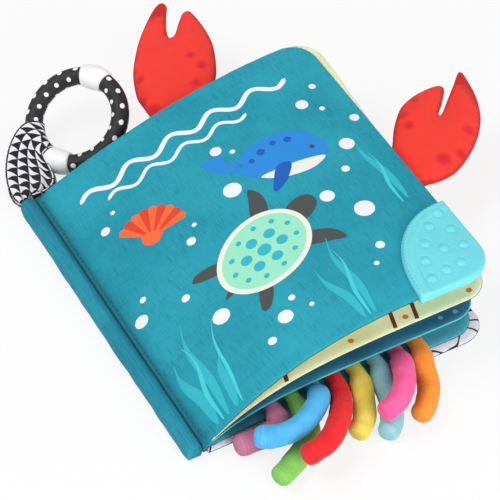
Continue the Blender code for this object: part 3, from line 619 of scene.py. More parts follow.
def hem_form(leaf, x, y, side):
    """What a sewn edge adds to a panel: a ridge, a dip behind it and small puckers."""
    inward = edge_in(leaf, x, y)
    away = min(max((x - LEAF_START) / (25 * MM), 0), 1)
    ridge = 0.24 * MM * math.exp(-((inward - 2.6 * MM) / (1.5 * MM)) ** 2)
    dip = 0.16 * MM * math.exp(-((inward - 6.5 * MM) / (2.2 * MM)) ** 2)
    pucker = 0.3 * MM * wobble(x, y, 4.5 * MM, side) * math.exp(-inward / (4 * MM))
    form = (ridge - dip + pucker) * away
    if leaf == "front_cover" and side > 0:
        form += 0.55 * MM * wobble(x, y, 38 * MM, 7) * away * min(1, inward / (12 * MM))
    return form


def panel_height(leaf, x, y, side):
    """Height of a leaf's front (side 1) or back (side -1) cloth."""
    half = thickness_at(leaf, x, y) / 2
    if leaf == "back_cover" and side < 0:
        return 0
    return middle_at(leaf, x, y) + side * (half + hem_form(leaf, x, y, side))


def leaf_columns(leaf, start, fore_in=0, pitch=PANEL_PITCH):
    """X of each column of a leaf's grid, closer at the rounded corners."""
    end = leaf_end(leaf) - fore_in
    radius = CORNER_RADIUS - fore_in
    straight = end - radius
    count = round((straight - start) / pitch)
    columns = [start + (straight - start) * i / count for i in range(count + 1)]
    for step in range(1, PANEL_CORNER_STEPS + 1):
        turn = math.pi / 2 * step / PANEL_CORNER_STEPS
        columns.append(straight + radius * math.sin(turn))
    return columns


def leaf_rows(leaf, x, rows, inset=0):
    """Y of each row of a leaf's grid at x, closer at the ends."""
    radius = CORNER_RADIUS - inset
    past = max(0, x - (leaf_end(leaf) - inset - radius))
    half = leaf_half(leaf) - inset
    reach = half - radius + math.sqrt(max(0, radius ** 2 - past ** 2))
    shares = [2 * j / rows - 1 for j in range(rows + 1)]
    return [reach * share * (1.3 - 0.3 * share * share) for share in shares]


def grid_faces(columns, rows, base=0):
    faces = []
    for i in range(columns - 1):
        for j in range(rows - 1):
            a = base + i * rows + j
            faces.append((a, a + rows, a + rows + 1, a + 1))
    return faces


def grid_rim(columns, rows):
    """Rim of a grid: the tail edge, the fore edge, the head edge and the seam side."""
    rim = [i * rows for i in range(columns)]
    rim += [(columns - 1) * rows + j for j in range(1, rows)]
    rim += [i * rows + rows - 1 for i in range(columns - 2, -1, -1)]
    return rim + list(range(rows - 2, 0, -1))


def shell_faces(columns, rows):
    """Faces of a closed shell between a lower grid of verts and the upper one after it."""
    count = columns * rows
    faces = [face[::-1] for face in grid_faces(columns, rows)]
    faces += grid_faces(columns, rows, count)
    rim = grid_rim(columns, rows)
    for a, b in zip(rim, rim[1:] + rim[:1]):
        faces.append((a, b, count + b, count + a))
    return faces


def rim_normals(points):
    """Level outward direction at each point of a closed rim."""
    normals = []
    for i, point in enumerate(points):
        ahead = points[(i + 1) % len(points)] - points[i - 1]
        normals.append(Vector((ahead.y, -ahead.x, 0)).normalized())
    return normals


def make_panel(leaf, side, start, slot, node):
    """One cloth panel of a leaf, which curls round to the seam at its rim."""
    columns = leaf_columns(leaf, start)
    verts = [Vector((x, y, panel_height(leaf, x, y, side)))
             for x in columns for y in leaf_rows(leaf, x, PANEL_ROWS)]
    rows = PANEL_ROWS + 1
    faces = grid_faces(len(columns), rows)
    rim = grid_rim(len(columns), rows)
    points = [verts[i] for i in rim]
    normals = rim_normals(points)
    before = rim
    for out, share in PANEL_CURLS:
        ring = []
        for point, normal in zip(points, normals):
            middle = middle_at(leaf, point.x, point.y)
            ring.append(len(verts))
            level = middle + (point.z - middle) * share
            verts.append(Vector((point.x, point.y, level)) + normal * out)
        for i in range(len(rim)):
            j = (i + 1) % len(rim)
            faces.append((before[i], ring[i], ring[j], before[j]))
        before = ring
    if side < 0:
        faces = [face[::-1] for face in faces]
    if leaf == "front_cover" and side < 0:
        for vert in verts:
            near_fore = ease((vert.x - leaf_end(leaf) + PEEK_DEPTH) / PEEK_DEPTH)
            vert.x += FORE_PEEK * near_fore * ease((vert.y - PEEK_START) / PEEK_RUN)
    name = leaf + ("_front_panel" if side > 0 else "_back_panel")
    panel = add_piece(name, verts, faces, MATERIALS[slot])
    # The teal cloth gets painted shade in the groove beside the spine
    if slot == "teal_cloth":
        paint_groove_shade(panel)
    thicken(panel, -1)
    dress(panel, BODIES.get(leaf, leaf), slot, node)


def seam_line(leaf, start):
    """Thread that shows between a leaf's two panels, dark so that it also paints the shadow in the
    gap, and a pale thick hem on the third leaf.
    """
    columns = leaf_columns(leaf, start)
    grid = [Vector((x, y, 0)) for x in columns for y in leaf_rows(leaf, x, PANEL_ROWS)]
    rows = PANEL_ROWS + 1
    rim = grid_rim(len(columns), rows)[:2 * len(columns) + rows - 2]
    points = [grid[i] for i in rim]
    run = []
    for i, point in enumerate(points):
        ahead = ahead_at(points, i)
        normal = Vector((ahead.y, -ahead.x, 0)).normalized()
        middle = Vector((point.x, point.y, middle_at(leaf, point.x, point.y)))
        run.append(middle + normal * 0.3 * MM)
    hemmed = leaf == "leaf_3"
    look = MATERIALS["hem_thread" if hemmed else "seam_thread"]
    radius = HEM_THREAD_RADIUS if hemmed else SEAM_THREAD_RADIUS
    thread_run(leaf + "_seam_thread", [run], radius, look, BODIES.get(leaf, leaf))


def inner_sheet(name, leaf, low, high, slot, node, crinkle=0):
    """Foam or film inside a leaf, from low over its back face up to high.

    High is counted from the front face for foam and from the back face for film.
    """
    columns = leaf_columns(leaf, INNER_START, INNER_INSET, INNER_PITCH)
    verts = []
    for upper in (0, 1):
        for x in columns:
            for y in leaf_rows(leaf, x, INNER_ROWS, INNER_INSET):
                half = thickness_at(leaf, x, y) / 2
                face = half if upper and slot == "foam" else -half
                level = middle_at(leaf, x, y) + face + (high if upper else low)
                level += crinkle * wobble(x, y, 5 * MM, 3)
                verts.append(Vector((x, y, level)))
    faces = shell_faces(len(columns), INNER_ROWS + 1)
    thing = add_piece(name, verts, faces, MATERIALS[slot])
    dress(thing, BODIES.get(leaf, leaf), slot, node)


def make_leaf(leaf, has_film, start):
    """Foam, film and the two panels of a leaf, with the thread between them."""
    front_slot, back_slot = LEAVES[leaf]["cloths"]
    floor = CLOTH + GAP
    if has_film:
        floor += 0.1 * MM
        inner_sheet(leaf + "_film_sheet", leaf, floor, floor + FILM_THICKNESS, "film",
                    leaf + "_crinkle_film", FILM_CRINKLE)
        floor += FILM_THICKNESS + GAP
    inner_sheet(leaf + "_padding", leaf, floor, -CLOTH - GAP - 0.35 * MM, "foam",
                leaf + "_foam")
    make_panel(leaf, 1, start, front_slot, leaf + "_front_cloth")
    make_panel(leaf, -1, start, back_slot, leaf + "_back_cloth")
    seam_line(leaf, start)


def make_web(leaf, start, end, slot):
    """Strip of gathered seam cloth that joins a leaf to the one below it."""
    columns = [start + (end - start) * i / 6 for i in range(7)]
    half = BOOK_HEIGHT / 2 - GAP
    verts = []
    for top, side, off in ((leaf, -1, 0.1 * MM), ("front_cover", 1, -0.1 * MM)):
        for x in columns:
            for j in range(PANEL_ROWS + 1):
                y = half * (2 * j / PANEL_ROWS - 1)
                level = panel_height(top, max(x, LEAF_START), y, side) + off
                verts.append(Vector((x, y, level)))
    faces = shell_faces(len(columns), PANEL_ROWS + 1)
    web = add_piece(leaf + "_web", verts, faces, MATERIALS[slot])
    # Painted shade in the groove
    paint_groove_shade(web)
    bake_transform(web)
    return web


def make_leaves():
    """All five leaves, and the webs that hold them at the groove."""
    starts = {"back_cover": LEAF_START, "leaf_4": LEAF_START}
    for i, leaf in enumerate(LEAF_ORDER[2:]):
        starts[leaf] = LEAF_START + (i + 1) * WEB_STEP
    for leaf in LEAF_ORDER:
        make_leaf(leaf, leaf != "leaf_4", starts[leaf])
    below = "book_base"
    start = SEAM_X
    for leaf in LEAF_ORDER[1:]:
        web = make_web(leaf, start, starts[leaf], "teal_cloth")
        if below == "book_base":
            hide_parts("seam_binding")
        below = leaf
        start = starts[leaf]


# Spine


def spine_section(count):
    """Points of the spine's rounded section, flat where it lies on its foot."""
    low = -SPINE_THICKNESS / 2 * math.cos(math.asin(SPINE_FOOT_SHARE))
    points = []
    for step in range(count):
        turn = 2 * math.pi * (step + 0.5) / count
        x = math.copysign(abs(math.cos(turn)) ** 0.8, math.cos(turn)) * SPINE_WIDTH / 2
        z = math.copysign(abs(math.sin(turn)) ** 0.8, math.sin(turn)) * SPINE_THICKNESS / 2
        points.append((x, max(z, low) - low, turn))
    return points


def make_spine():
    """Puffed spine strip with long soft folds and gathered ends."""
    sides = 40
    steps = 150
    half = BOOK_HEIGHT / 2
    core = spine_section(sides)
    middle_z = SPINE_THICKNESS / 2
    verts = []
    coords = []
    around = 0.8 * math.pi * (SPINE_WIDTH + SPINE_THICKNESS) / 2
    for step in range(steps + 1):
        share = 2 * step / steps - 1
        y = half * math.sin(share * math.pi / 2) if abs(share) > 0.97 else half * share
        to_end = half - abs(y)
        gather = min(1, 0.88 + 0.12 * math.sqrt(max(0, to_end) / (2.5 * MM)))
        for x, z, turn in core:
            across, up = math.cos(turn), math.sin(turn)
            fold = 0.34 * MM * noise.noise(Vector((y / (34 * MM), across * 2, up * 2)))
            fold += 0.22 * MM * noise.noise(Vector((y / (9 * MM), across * 1.5, 5)))
            fold *= min(1, to_end / (6 * MM))
            if z <= 0:
                fold = 0
            grow = gather * (1 + fold / (SPINE_WIDTH / 2))
            level = middle_z + (z - middle_z) * grow
            verts.append(Vector((SPINE_X + SPINE_WIDTH / 2 + x * grow, y, max(level, 0))))
            coords.append((turn / (2 * math.pi) * around, y))
    faces = tube_faces(steps + 1, sides)
    spine = add_piece("spine_strip", verts, faces, MATERIALS["spine_cloth"], coords)
    face_out(spine)
    # Painted shade on the spine's side next to the groove
    paint_groove_shade(spine)
    dress(spine, "book_base", "teal_cloth", "spine_cloth", "spine_padding")


def groove_stitches():
    """Row of lockstitches along the bottom of the groove."""
    runs = []
    pitch = 3.3 * MM
    count = int((BOOK_HEIGHT - 6 * MM) / pitch)
    for i in range(count):
        first = -BOOK_HEIGHT / 2 + 4 * MM + i * pitch
        run = []
        for step in range(5):
            y = first + 2.5 * MM * step / 4
            arch = math.sin(math.pi * step / 4) * 0.3 * MM - 0.15 * MM
            place = GROOVE_X + 0.25 * MM * (step / 4 - 0.5)
            level = panel_height("front_cover", max(place, LEAF_START), y, 1)
            run.append(Vector((place, y, level + arch)))
        runs.append(run)
    verts, faces = thread_mesh(runs, GROOVE_THREAD_RADIUS)
    stitches = add_piece("groove_stitches", verts, faces, MATERIALS["groove_thread"])
    face_out(stitches)
    middle = panel_height("leaf_4", LEAF_START, 0, -1)
    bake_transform(stitches)


# Claws

CLAW_LENGTH = 90 * MM
CLAW_WIDTH = 64 * MM
CLAW_THICKNESS = 8.5 * MM
CLAW_SEAM_GAP = 0.5 * MM
CLAW_DROOP = math.radians(5)
CLAW_TAB = 3 * MM
CLAW_RIM = 0.55 * MM
CLAW_FILL_PITCH = 2.1 * MM
CLAW_AIR_PRESSURE = 3
CLAW_AIR_CAP = 1.6 * MM
HEAD_CLAW_PLACE_SHARE = 0.56
FORE_CLAW_PLACE_SHARE = 0.48
CLAW_OUTLINE_SHARES = {
    "head_claw": (
        (-0.234, 0), (-0.275, 0.078), (-0.275, 0.189), (-0.263, 0.3), (-0.173, 0.482),
        (-0.059, 0.624), (0.092, 0.77), (0.272, 0.903), (0.395, 0.976), (0.47, 0.992),
        (0.484, 0.939), (0.421, 0.856), (0.353, 0.756), (0.327, 0.678), (0.355, 0.656),
        (0.417, 0.676), (0.557, 0.772), (0.609, 0.801), (0.65, 0.797), (0.664, 0.758),
        (0.664, 0.628), (0.642, 0.48), (0.594, 0.352), (0.477, 0.167), (0.313, 0),
    ),
    "fore_claw": (
        (-0.187, 0), (-0.328, 0.073), (-0.503, 0.16), (-0.68, 0.281), (-0.767, 0.402),
        (-0.803, 0.514), (-0.809, 0.603), (-0.773, 0.633), (-0.719, 0.613), (-0.655, 0.58),
        (-0.562, 0.53), (-0.505, 0.499), (-0.463, 0.496), (-0.494, 0.54), (-0.606, 0.631),
        (-0.731, 0.727), (-0.858, 0.827), (-0.723, 0.824), (-0.573, 0.804), (-0.42, 0.767),
        (-0.263, 0.71), (-0.094, 0.616), (0.07, 0.484), (0.211, 0.32), (0.25, 0.161),
        (0.195, 0),
    ),
}
# Each spot's place along the seam and out from it, and its radius, in millimetres
CLAW_SPOTS = {
    "head_claw": ((23, 33, 2.6), (24.5, 22, 3), (-10.5, 35.5, 3.1),
                  (15, 11.5, 2.6), (-13, 9, 3.3), (-16.5, 19.5, 2.8)),
    "fore_claw": ((-45, 34.5, 2.5), (-36, 22.5, 2.8), (-26, 21, 3.1),
                  (-9, 51, 3.3), (5, 25, 4.2), (5, 37, 3.3)),
}


def claw_outline(name):
    """Smooth outline of a claw in its own plane, its root on the line y = 0."""
    points = [Vector((along * CLAW_WIDTH, out * CLAW_LENGTH))
              for along, out in CLAW_OUTLINE_SHARES[name]]
    curve = smooth_curve(points, steps=14)
    spaced = walk(curve, np.arange(0, path_length(curve), 1.5 * MM))
    first, last = spaced[0].copy(), points[-1]
    tab = [Vector((last.x, -CLAW_TAB)), Vector((first.x, -CLAW_TAB))]
    root = [tab[0].lerp(tab[1], i / 24) for i in range(25)]
    return spaced + [last] + root


def claw_frame(place, along, outward):
    """Matrix of a claw: X along the seam, Y outward and drooping, Z its face."""
    along = along.normalized()
    up = along.cross(outward).normalized()
    out = up.cross(along)
    droop = Matrix.Rotation(-CLAW_DROOP, 3, along)
    axes = Matrix((along, droop @ out, droop @ up)).transposed()
    return Matrix.Translation(place) @ axes.to_4x4()


def claw_seams():
    """Frame of each claw at the second leaf's sewn edge."""
    leaf = "leaf_2"
    half = leaf_half(leaf)
    end = leaf_end(leaf)
    run = CLAW_WIDTH / 4
    head_x = SPINE_X + BOOK_WIDTH * HEAD_CLAW_PLACE_SHARE
    head = Vector((head_x, half, middle_at(leaf, head_x, half)))
    further = Vector((head_x + run, half, middle_at(leaf, head_x + run, half)))
    place = head + Vector((0, CLAW_SEAM_GAP, 0))
    head_frame = claw_frame(place, further - head, Vector((0, 1, 0)))
    fore_y = BOOK_HEIGHT * (FORE_CLAW_PLACE_SHARE - 0.5)
    fore = Vector((end, fore_y, middle_at(leaf, end, fore_y)))
    further = Vector((end, fore_y - run, middle_at(leaf, end, fore_y - run)))
    place = fore + Vector((CLAW_SEAM_GAP, 0, 0))
    fore_frame = claw_frame(place, further - fore, Vector((1, 0, 0)))
    return {"head_claw": head_frame, "fore_claw": fore_frame}


def rim_distance(points, outline):
    """Distance of each point to a closed outline, with numpy."""
    here = np.array(points)[:, None, :]
    a = np.array([tuple(p) for p in outline])
    b = np.roll(a, -1, axis=0)
    run = b - a
    share = np.clip(((here - a) * run).sum(2) / np.maximum((run * run).sum(1), 1e-18), 0, 1)
    return np.linalg.norm(here - (a + run * share[:, :, None]), axis=2).min(1)


def fill_outline(outline, pitch):
    """Points and triangles that fill an outline, its own points first."""
    xs = [p.x for p in outline]
    ys = [p.y for p in outline]
    inside = []
    rows = int((max(ys) - min(ys)) / pitch) + 1
    for j in range(rows):
        y = min(ys) + j * pitch * 0.87
        shift = pitch / 2 if j % 2 else 0
        inside += [(x + shift, y) for x in np.arange(min(xs), max(xs), pitch)]
    far = rim_distance(inside, outline)
    kept = [Vector(p) for p, d in zip(inside, far) if d > pitch * 0.55 and in_outline(p, outline)]
    count = len(outline)
    edges = [(i, (i + 1) % count) for i in range(count)]
    points, _, faces, *_ = geometry.delaunay_2d_cdt(list(outline) + kept, edges, [], 1, 1e-7)
    return points, [tuple(face) for face in faces]


def in_outline(point, outline):
    """Whether a point lies inside a closed outline."""
    inside = False
    x, y = point
    for a, b in zip(outline, list(outline[1:]) + [outline[0]]):
        if (a.y > y) != (b.y > y) and x < (b.x - a.x) * (y - a.y) / (b.y - a.y) + a.x:
            inside = not inside
    return inside


def puff(thing, pinned, pressure, cap):
    """Blow a closed cloth mesh up with air, ten times enlarged, and keep its moves small."""
    enlarged = 10
    rest = np.array([v.co for v in thing.data.vertices])
    thing.data.transform(Matrix.Scale(enlarged, 4))
    group = thing.vertex_groups.new(name="sewn")
    group.add(pinned, 1, "REPLACE")
    modifier = thing.modifiers.new("Cloth", "CLOTH")
    modifier.settings.quality = 6
    modifier.settings.use_pressure = True
    modifier.settings.uniform_pressure_force = pressure
    modifier.settings.vertex_group_mass = "sewn"
    modifier.settings.effector_weights.gravity = 0
    modifier.collision_settings.use_collision = False
    scene = bpy.context.scene
    for number in range(1, 21):
        scene.frame_set(number)
    graph = bpy.context.evaluated_depsgraph_get()
    blown = thing.evaluated_get(graph).to_mesh()
    moved = np.array([v.co for v in blown.vertices]) / enlarged - rest
    thing.modifiers.clear()
    scene.frame_set(1)
    far = np.linalg.norm(moved, axis=1)
    share = np.where(far > cap, cap / np.maximum(far, 1e-12), 1)
    final = rest + moved * share[:, None]
    thing.data.vertices.foreach_set("co", final.astype(np.float32).ravel())
    thing.data.update()


def make_claw(name, place):
    """A padded felt claw whose root tab is sewn between the leaf's panels."""
    outline = claw_outline(name)
    flat, faces = fill_outline(outline, CLAW_FILL_PITCH)
    count = len(outline)
    far = rim_distance([tuple(p) for p in flat], outline)
    root = np.array([min(1, max(0, (p.y + CLAW_TAB) / (12 * MM))) for p in flat])
    rise = CLAW_THICKNESS / 2 - 0.9 * MM
    dome = np.sqrt(1 - (1 - np.clip(far / (15 * MM), 0, 1)) ** 2)
    height = CLAW_RIM + (rise - CLAW_RIM) * dome * root
    verts = [Vector((p.x, p.y, h)) for p, h in zip(flat, height)]
    verts += [Vector((p.x, p.y, -h)) for p, h in zip(flat, height)]
    size = len(flat)
    all_faces = faces + [tuple(size + i for i in face[::-1]) for face in faces]
    for i in range(count):
        ahead = outline[(i + 1) % count] - outline[i - 1]
        outward = Vector((-ahead.y, ahead.x)).normalized() * CLAW_RIM
        verts.append(Vector((outline[i].x + outward.x, outline[i].y + outward.y, 0)))
    for i in range(count):
        j = (i + 1) % count
        all_faces.append((i, j, 2 * size + j, 2 * size + i))
        all_faces.append((2 * size + i, 2 * size + j, size + j, size + i))
    claw = add_piece(name + "_pad", verts, all_faces, MATERIALS["claw_red"])
    face_out(claw)
    pinned = [i for i, v in enumerate(verts) if v.y < 1 * MM]
    puff(claw, pinned, CLAW_AIR_PRESSURE, CLAW_AIR_CAP)
    spots = [(x * MM, y * MM, r * MM) for x, y, r in CLAW_SPOTS[name]]
    gaps = [min(math.hypot(v.x - x, v.y - y) - r for x, y, r in spots) for v in verts]
    mark_verts(claw, "spot", [min(1, max(0, 0.5 - gap / (2 * MM))) for gap in gaps])
    # Painted shadow along the claw's rim, which the felt look reads as its edge mark
    rims = rim_distance([(v.x, v.y) for v in verts], outline)
    mark_verts(claw, "edge", [max(0, 1 - rim / (1.2 * MM)) for rim in rims])
    claw.data.transform(place)
    fine = claw.modifiers.new("Fine", "SUBSURF")
    fine.levels = fine.render_levels = 1
    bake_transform(claw)
    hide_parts(name + "_front_cloth", name + "_back_cloth", name + "_wadding")


def make_claws():
    """One claw at the head edge and one at the fore edge of the second leaf."""
    for name, place in claw_seams().items():
        make_claw(name, place)


# Teether

TEETHER_REACH = 46 * MM
TEETHER_REACH_FORE = 54 * MM
TEETHER_PLATE = 1.8 * MM
TEETHER_WALL = 2.4 * MM
TEETHER_EASE = 0.25 * MM
TEETHER_THREAD_RADIUS = 0.16 * MM
TEETHER_BUMP_SHARES = (
    (0.17, 0.85), (0.37, 0.74), (0.17, 0.62), (0.55, 0.56), (0.4, 0.43),
    (0.17, 0.39), (0.68, 0.37), (0.34, 0.2), (0.54, 0.19), (0.75, 0.16),
)


def teether_outline():
    """Cap outline: the cover's corner outside, and a round inner edge."""
    wall = TEETHER_WALL + GAP
    right = leaf_end("front_cover") + wall
    bottom = -leaf_half("front_cover") - wall
    radius = CORNER_RADIUS + wall
    points = []
    for step in range(25):
        turn = math.pi / 2 * step / 24
        points.append(Vector((right - radius + radius * math.cos(turn),
                              bottom + radius - radius * math.sin(turn))))
    inner = []
    for step in range(61):
        turn = math.pi / 2 * step / 60
        inner.append(Vector((right - TEETHER_REACH * math.cos(turn) ** 0.9,
                             bottom + TEETHER_REACH_FORE * math.sin(turn) ** 0.9)))
    return points, inner, right, bottom


def plate_rise(far):
    """Height of the cap's plain plate that far in from its rounded rim."""
    return TEETHER_PLATE * math.sqrt(1 - (1 - min(far / (2.2 * MM), 1)) ** 2)


def teether_rise(x, y, inner, outline, right, bottom):
    """Height of the cap over the cover: plate, rim band and domed bumps."""
    spot = Vector((x, y))
    far = rim_distance([(x, y)], outline)[0]
    from_inner = min((spot - p).length for p in inner)
    height = plate_rise(far) + 0.2 * MM
    band = 0.75 * MM * (1 - ease((from_inner - 6.2 * MM) / (1.4 * MM)))
    groove = 0.3 * MM * math.exp(-((from_inner - 3.6 * MM) / (0.7 * MM)) ** 2)
    height += (band - groove) * ease(far / (1.6 * MM))
    for across, up in TEETHER_BUMP_SHARES:
        centre = Vector((right - across * TEETHER_REACH, bottom + up * TEETHER_REACH_FORE))
        away = (spot - centre).length / (2.5 * MM)
        if away < 1:
            height += 0.8 * MM * (1 - away ** 2)
        height -= 0.35 * MM * math.exp(-((away - 1.2) / 0.25) ** 2)
    return height


def make_teether():
    """Soft silicone cap over the cover's corner."""
    outer, inner, right, bottom = teether_outline()
    outline = outer + inner
    centre = sum(outline, Vector((0, 0))) / len(outline)
    loop = outline + [outline[0]]
    spaced = walk(loop, np.linspace(0, path_length(loop), 200)[:-1])
    shares = [1, 0.992, 0.975, 0.95] + [0.95 * (1 - i / 40) for i in range(1, 40)]
    leaf = "front_cover"
    verts = []
    count = len(spaced)
    for side in (1, -1):
        for share in shares:
            for point in spaced:
                place = centre + (point - centre) * share
                x = min(place.x, leaf_end(leaf))
                y = max(place.y, -leaf_half(leaf))
                half = thickness_at(leaf, x, y) / 2 + TEETHER_EASE
                if side > 0:
                    rise = teether_rise(place.x, place.y, inner, spaced, right, bottom)
                else:
                    far = rim_distance([tuple(place)], spaced)[0] if share > 0.9 else 5 * MM
                    rise = plate_rise(far)
                lift = half * (0.55 + 0.45 * min(1, rise / MM)) + rise
                verts.append(Vector((place.x, place.y, middle_at(leaf, x, y) + side * lift)))
        x, y = centre
        tip = teether_rise(x, y, inner, spaced, right, bottom) if side > 0 else TEETHER_PLATE
        half = thickness_at(leaf, x, y) / 2 + TEETHER_EASE
        verts.append(Vector((x, y, middle_at(leaf, x, y) + side * (half + tip))))
    block = len(shares) * count + 1
    faces = []
    for base in (0, block):
        for ring in range(len(shares) - 1):
            a = base + ring * count
            faces += ring_faces(a, a + count, count)
        last = base + (len(shares) - 1) * count
        for i in range(count):
            faces.append((last + i, last + (i + 1) % count, base + block - 1))
    faces += ring_faces(0, block, count)
    cap = add_piece("teether_cap", verts, faces, MATERIALS["silicone_blue"])
    face_out(cap)
    cut_pocket(cap)
    dress(cap, "front_cover", "silicone_blue", "corner_teether")

    runs = []
    band = [centre + (point - centre) * 0.93 for point in inner]
    total = path_length(band)
    for start in np.arange(3 * MM, total - 4 * MM, 2.4 * MM):
        line = walk(band, [start + 1.4 * MM * i / 4 for i in range(5)])
        run = []
        for step, spot in enumerate(line):
            x = min(spot.x, leaf_end(leaf))
            y = max(spot.y, -leaf_half(leaf))
            rise = teether_rise(spot.x, spot.y, inner, spaced, right, bottom)
            level = middle_at(leaf, x, y) + thickness_at(leaf, x, y) / 2 + TEETHER_EASE + rise
            run.append(Vector((spot.x, spot.y, level + 0.12 * MM * math.sin(math.pi * step / 4))))
        runs.append(run)
    thread_run("teether_stitches", runs, TEETHER_THREAD_RADIUS, MATERIALS["teether_thread"],
               "front_cover")


def cut_pocket(cap):
    """Cut the slot that the cover's corner sits in."""
    leaf = "front_cover"
    columns = [leaf_end(leaf) - 70 * MM + 7 * MM * i for i in range(8)]
    columns += [x for x in leaf_columns(leaf, LEAF_START) if x > columns[-1] + MM]
    rows = 40
    grown = 1 + 0.1 * MM / leaf_half(leaf)
    verts = []
    for side in (-1, 1):
        for x in columns:
            for y in leaf_rows(leaf, x, rows):
                half = thickness_at(leaf, x, y) / 2 + 0.12 * MM
                level = middle_at(leaf, x, y) + side * half
                verts.append((x + 0.1 * MM, y * grown, level))
    faces = shell_faces(len(columns), rows + 1)
    pocket = add_piece("pocket", verts, faces, MATERIALS["silicone_blue"])
    face_out(pocket)
    modifier = cap.modifiers.new("Pocket", "BOOLEAN")
    modifier.operation = "DIFFERENCE"
    modifier.object = pocket
    graph = bpy.context.evaluated_depsgraph_get()
    result = bpy.data.meshes.new_from_object(cap.evaluated_get(graph))
    cap.modifiers.clear()
    cap.data = result
    bpy.data.objects.remove(pocket)


# Tentacles

TENTACLE_RADIUS = 5.7 * MM
TENTACLE_ROOT_RADIUS = 3.8 * MM
TENTACLE_LENGTH = 60 * MM
TENTACLE_FIRST = 50 * MM
TENTACLE_PITCH = 12.2 * MM
TENTACLE_ROOT_DEPTH = 14 * MM
TENTACLE_PILE = 0.25 * MM
RIB_PITCH = 1 * MM
RIB_DEPTH = 0.18 * MM
TENTACLE_SHARES = {
    "mauve": ((-0.03, -0.12, 0.3), (-0.16, -0.13, 0), (-0.31, -0.13, 0), (-0.44, -0.12, 0)),
    "green": ((0.01, -0.13, 0.3), (-0.01, -0.26, 0), (-0.15, -0.41, 0), (-0.33, -0.52, 0),
              (-0.5, -0.59, 0)),
    "blue": ((-0.05, -0.13, 1.0), (-0.17, -0.25, 1.12), (-0.33, -0.33, 1.12),
             (-0.49, -0.35, 1.12), (-0.63, -0.31, 1.1), (-0.73, -0.24, 1.08)),
    "red": ((-0.04, -0.13, 0.4), (-0.14, -0.31, 0.7), (-0.28, -0.47, 0.95),
            (-0.42, -0.57, 1.0), (-0.56, -0.61, 1.02), (-0.68, -0.61, 0.98)),
    "yellow": ((-0.03, -0.13, 0.3), (-0.08, -0.26, 0), (-0.17, -0.4, 0), (-0.3, -0.5, 0)),
    "light_blue": ((-0.04, -0.15, 0.3), (-0.06, -0.31, 0), (-0.15, -0.49, 0), (-0.28, -0.63, 0)),
    "pink": ((-0.08, -0.21, 1.0), (-0.19, -0.39, 1.12), (-0.34, -0.51, 1.14),
             (-0.5, -0.55, 1.1)),
    "orange": ((-0.04, -0.15, 0.3), (-0.08, -0.29, 0), (-0.19, -0.46, 0), (-0.35, -0.59, 0)),
}


def tentacle_path(order, places):
    """Centre line of a tentacle, from under the third leaf to its free tip."""
    leaf = "leaf_4"
    x = SPINE_X + TENTACLE_FIRST + order * TENTACLE_PITCH
    edge = -BOOK_HEIGHT / 2
    inside = edge + TENTACLE_ROOT_DEPTH
    lift = TENTACLE_ROOT_RADIUS + GAP
    points = []
    for y in (inside, (inside + edge) / 2, edge):
        within = max(y, -leaf_half(leaf))
        top = middle_at(leaf, x, within) + thickness_at(leaf, x, within) / 2
        crest = middle_at(leaf, x, inside) + thickness_at(leaf, x, inside) / 2
        points.append(Vector((x, y, max(top, crest) + lift)))
    floor = TENTACLE_RADIUS + 0.3 * MM
    for across, out, level in places:
        z = floor + level * (2 * TENTACLE_RADIUS + GAP)
        points.append(Vector((x + across * TENTACLE_LENGTH, edge + out * TENTACLE_LENGTH, z)))
    return smooth_curve(points, steps=16)


def make_tentacle(order, colour, places):
    """Stuffed limb of ribbed plush with a round tip."""
    path = tentacle_path(order, places)
    total = path_length(path)
    body = np.arange(0, total - TENTACLE_RADIUS, RIB_PITCH / 4)
    tip = [total - TENTACLE_RADIUS * (1 - math.sin(math.pi / 2 * i / 12)) for i in range(12)]
    distances = list(body) + tip + [total - 0.02 * MM]
    frames = path_frames(walk(path, distances))
    sides = 20
    verts = []
    ribs = []
    coords = []
    for (place, side, up), far in zip(frames, distances):
        swell = ease((far / total - TENTACLE_ROOT_DEPTH / total * 0.8) / 0.16)
        radius = TENTACLE_ROOT_RADIUS + (TENTACLE_RADIUS - TENTACLE_ROOT_RADIUS) * swell
        past = max(0, (far - total + TENTACLE_RADIUS) / TENTACLE_RADIUS)
        radius *= max(0.0004, 1 - past ** 4) ** 0.42
        rib = 0.5 - 0.5 * math.cos(2 * math.pi * far / RIB_PITCH)
        near_tip = math.exp(-((total - far - 9 * MM) / (8 * MM)) ** 2)
        for step in range(sides):
            turn = 2 * math.pi * step / sides
            out = side * math.cos(turn) + up * math.sin(turn)
            spot = Vector((far / (8 * MM), math.cos(turn), math.sin(turn) + order))
            dent = (0.4 + 0.35 * near_tip) * MM * noise.noise(spot)
            reach = radius + (TENTACLE_PILE + dent - RIB_DEPTH * rib) * (1 - past)
            point = place + out * max(reach, 0.05 * MM)
            point.z = max(point.z, 0.05 * MM)
            verts.append(point)
            ribs.append(rib)
            coords.append((turn * TENTACLE_RADIUS, far))
    faces = tube_faces(len(frames), sides)
    slot = "plush_" + colour
    limb = add_piece("limb_" + colour, verts, faces, MATERIALS[slot], coords)
    face_out(limb)
    # The rib share also sets the painted shade in the grooves between the ribs
    mark_verts(limb, "rib", ribs)
    dress(limb, "leaf_4", slot, "tentacle_" + colour)


def make_tentacles():
    for order, (colour, places) in enumerate(TENTACLE_SHARES.items()):
        make_tentacle(order, colour, places)


# Ring

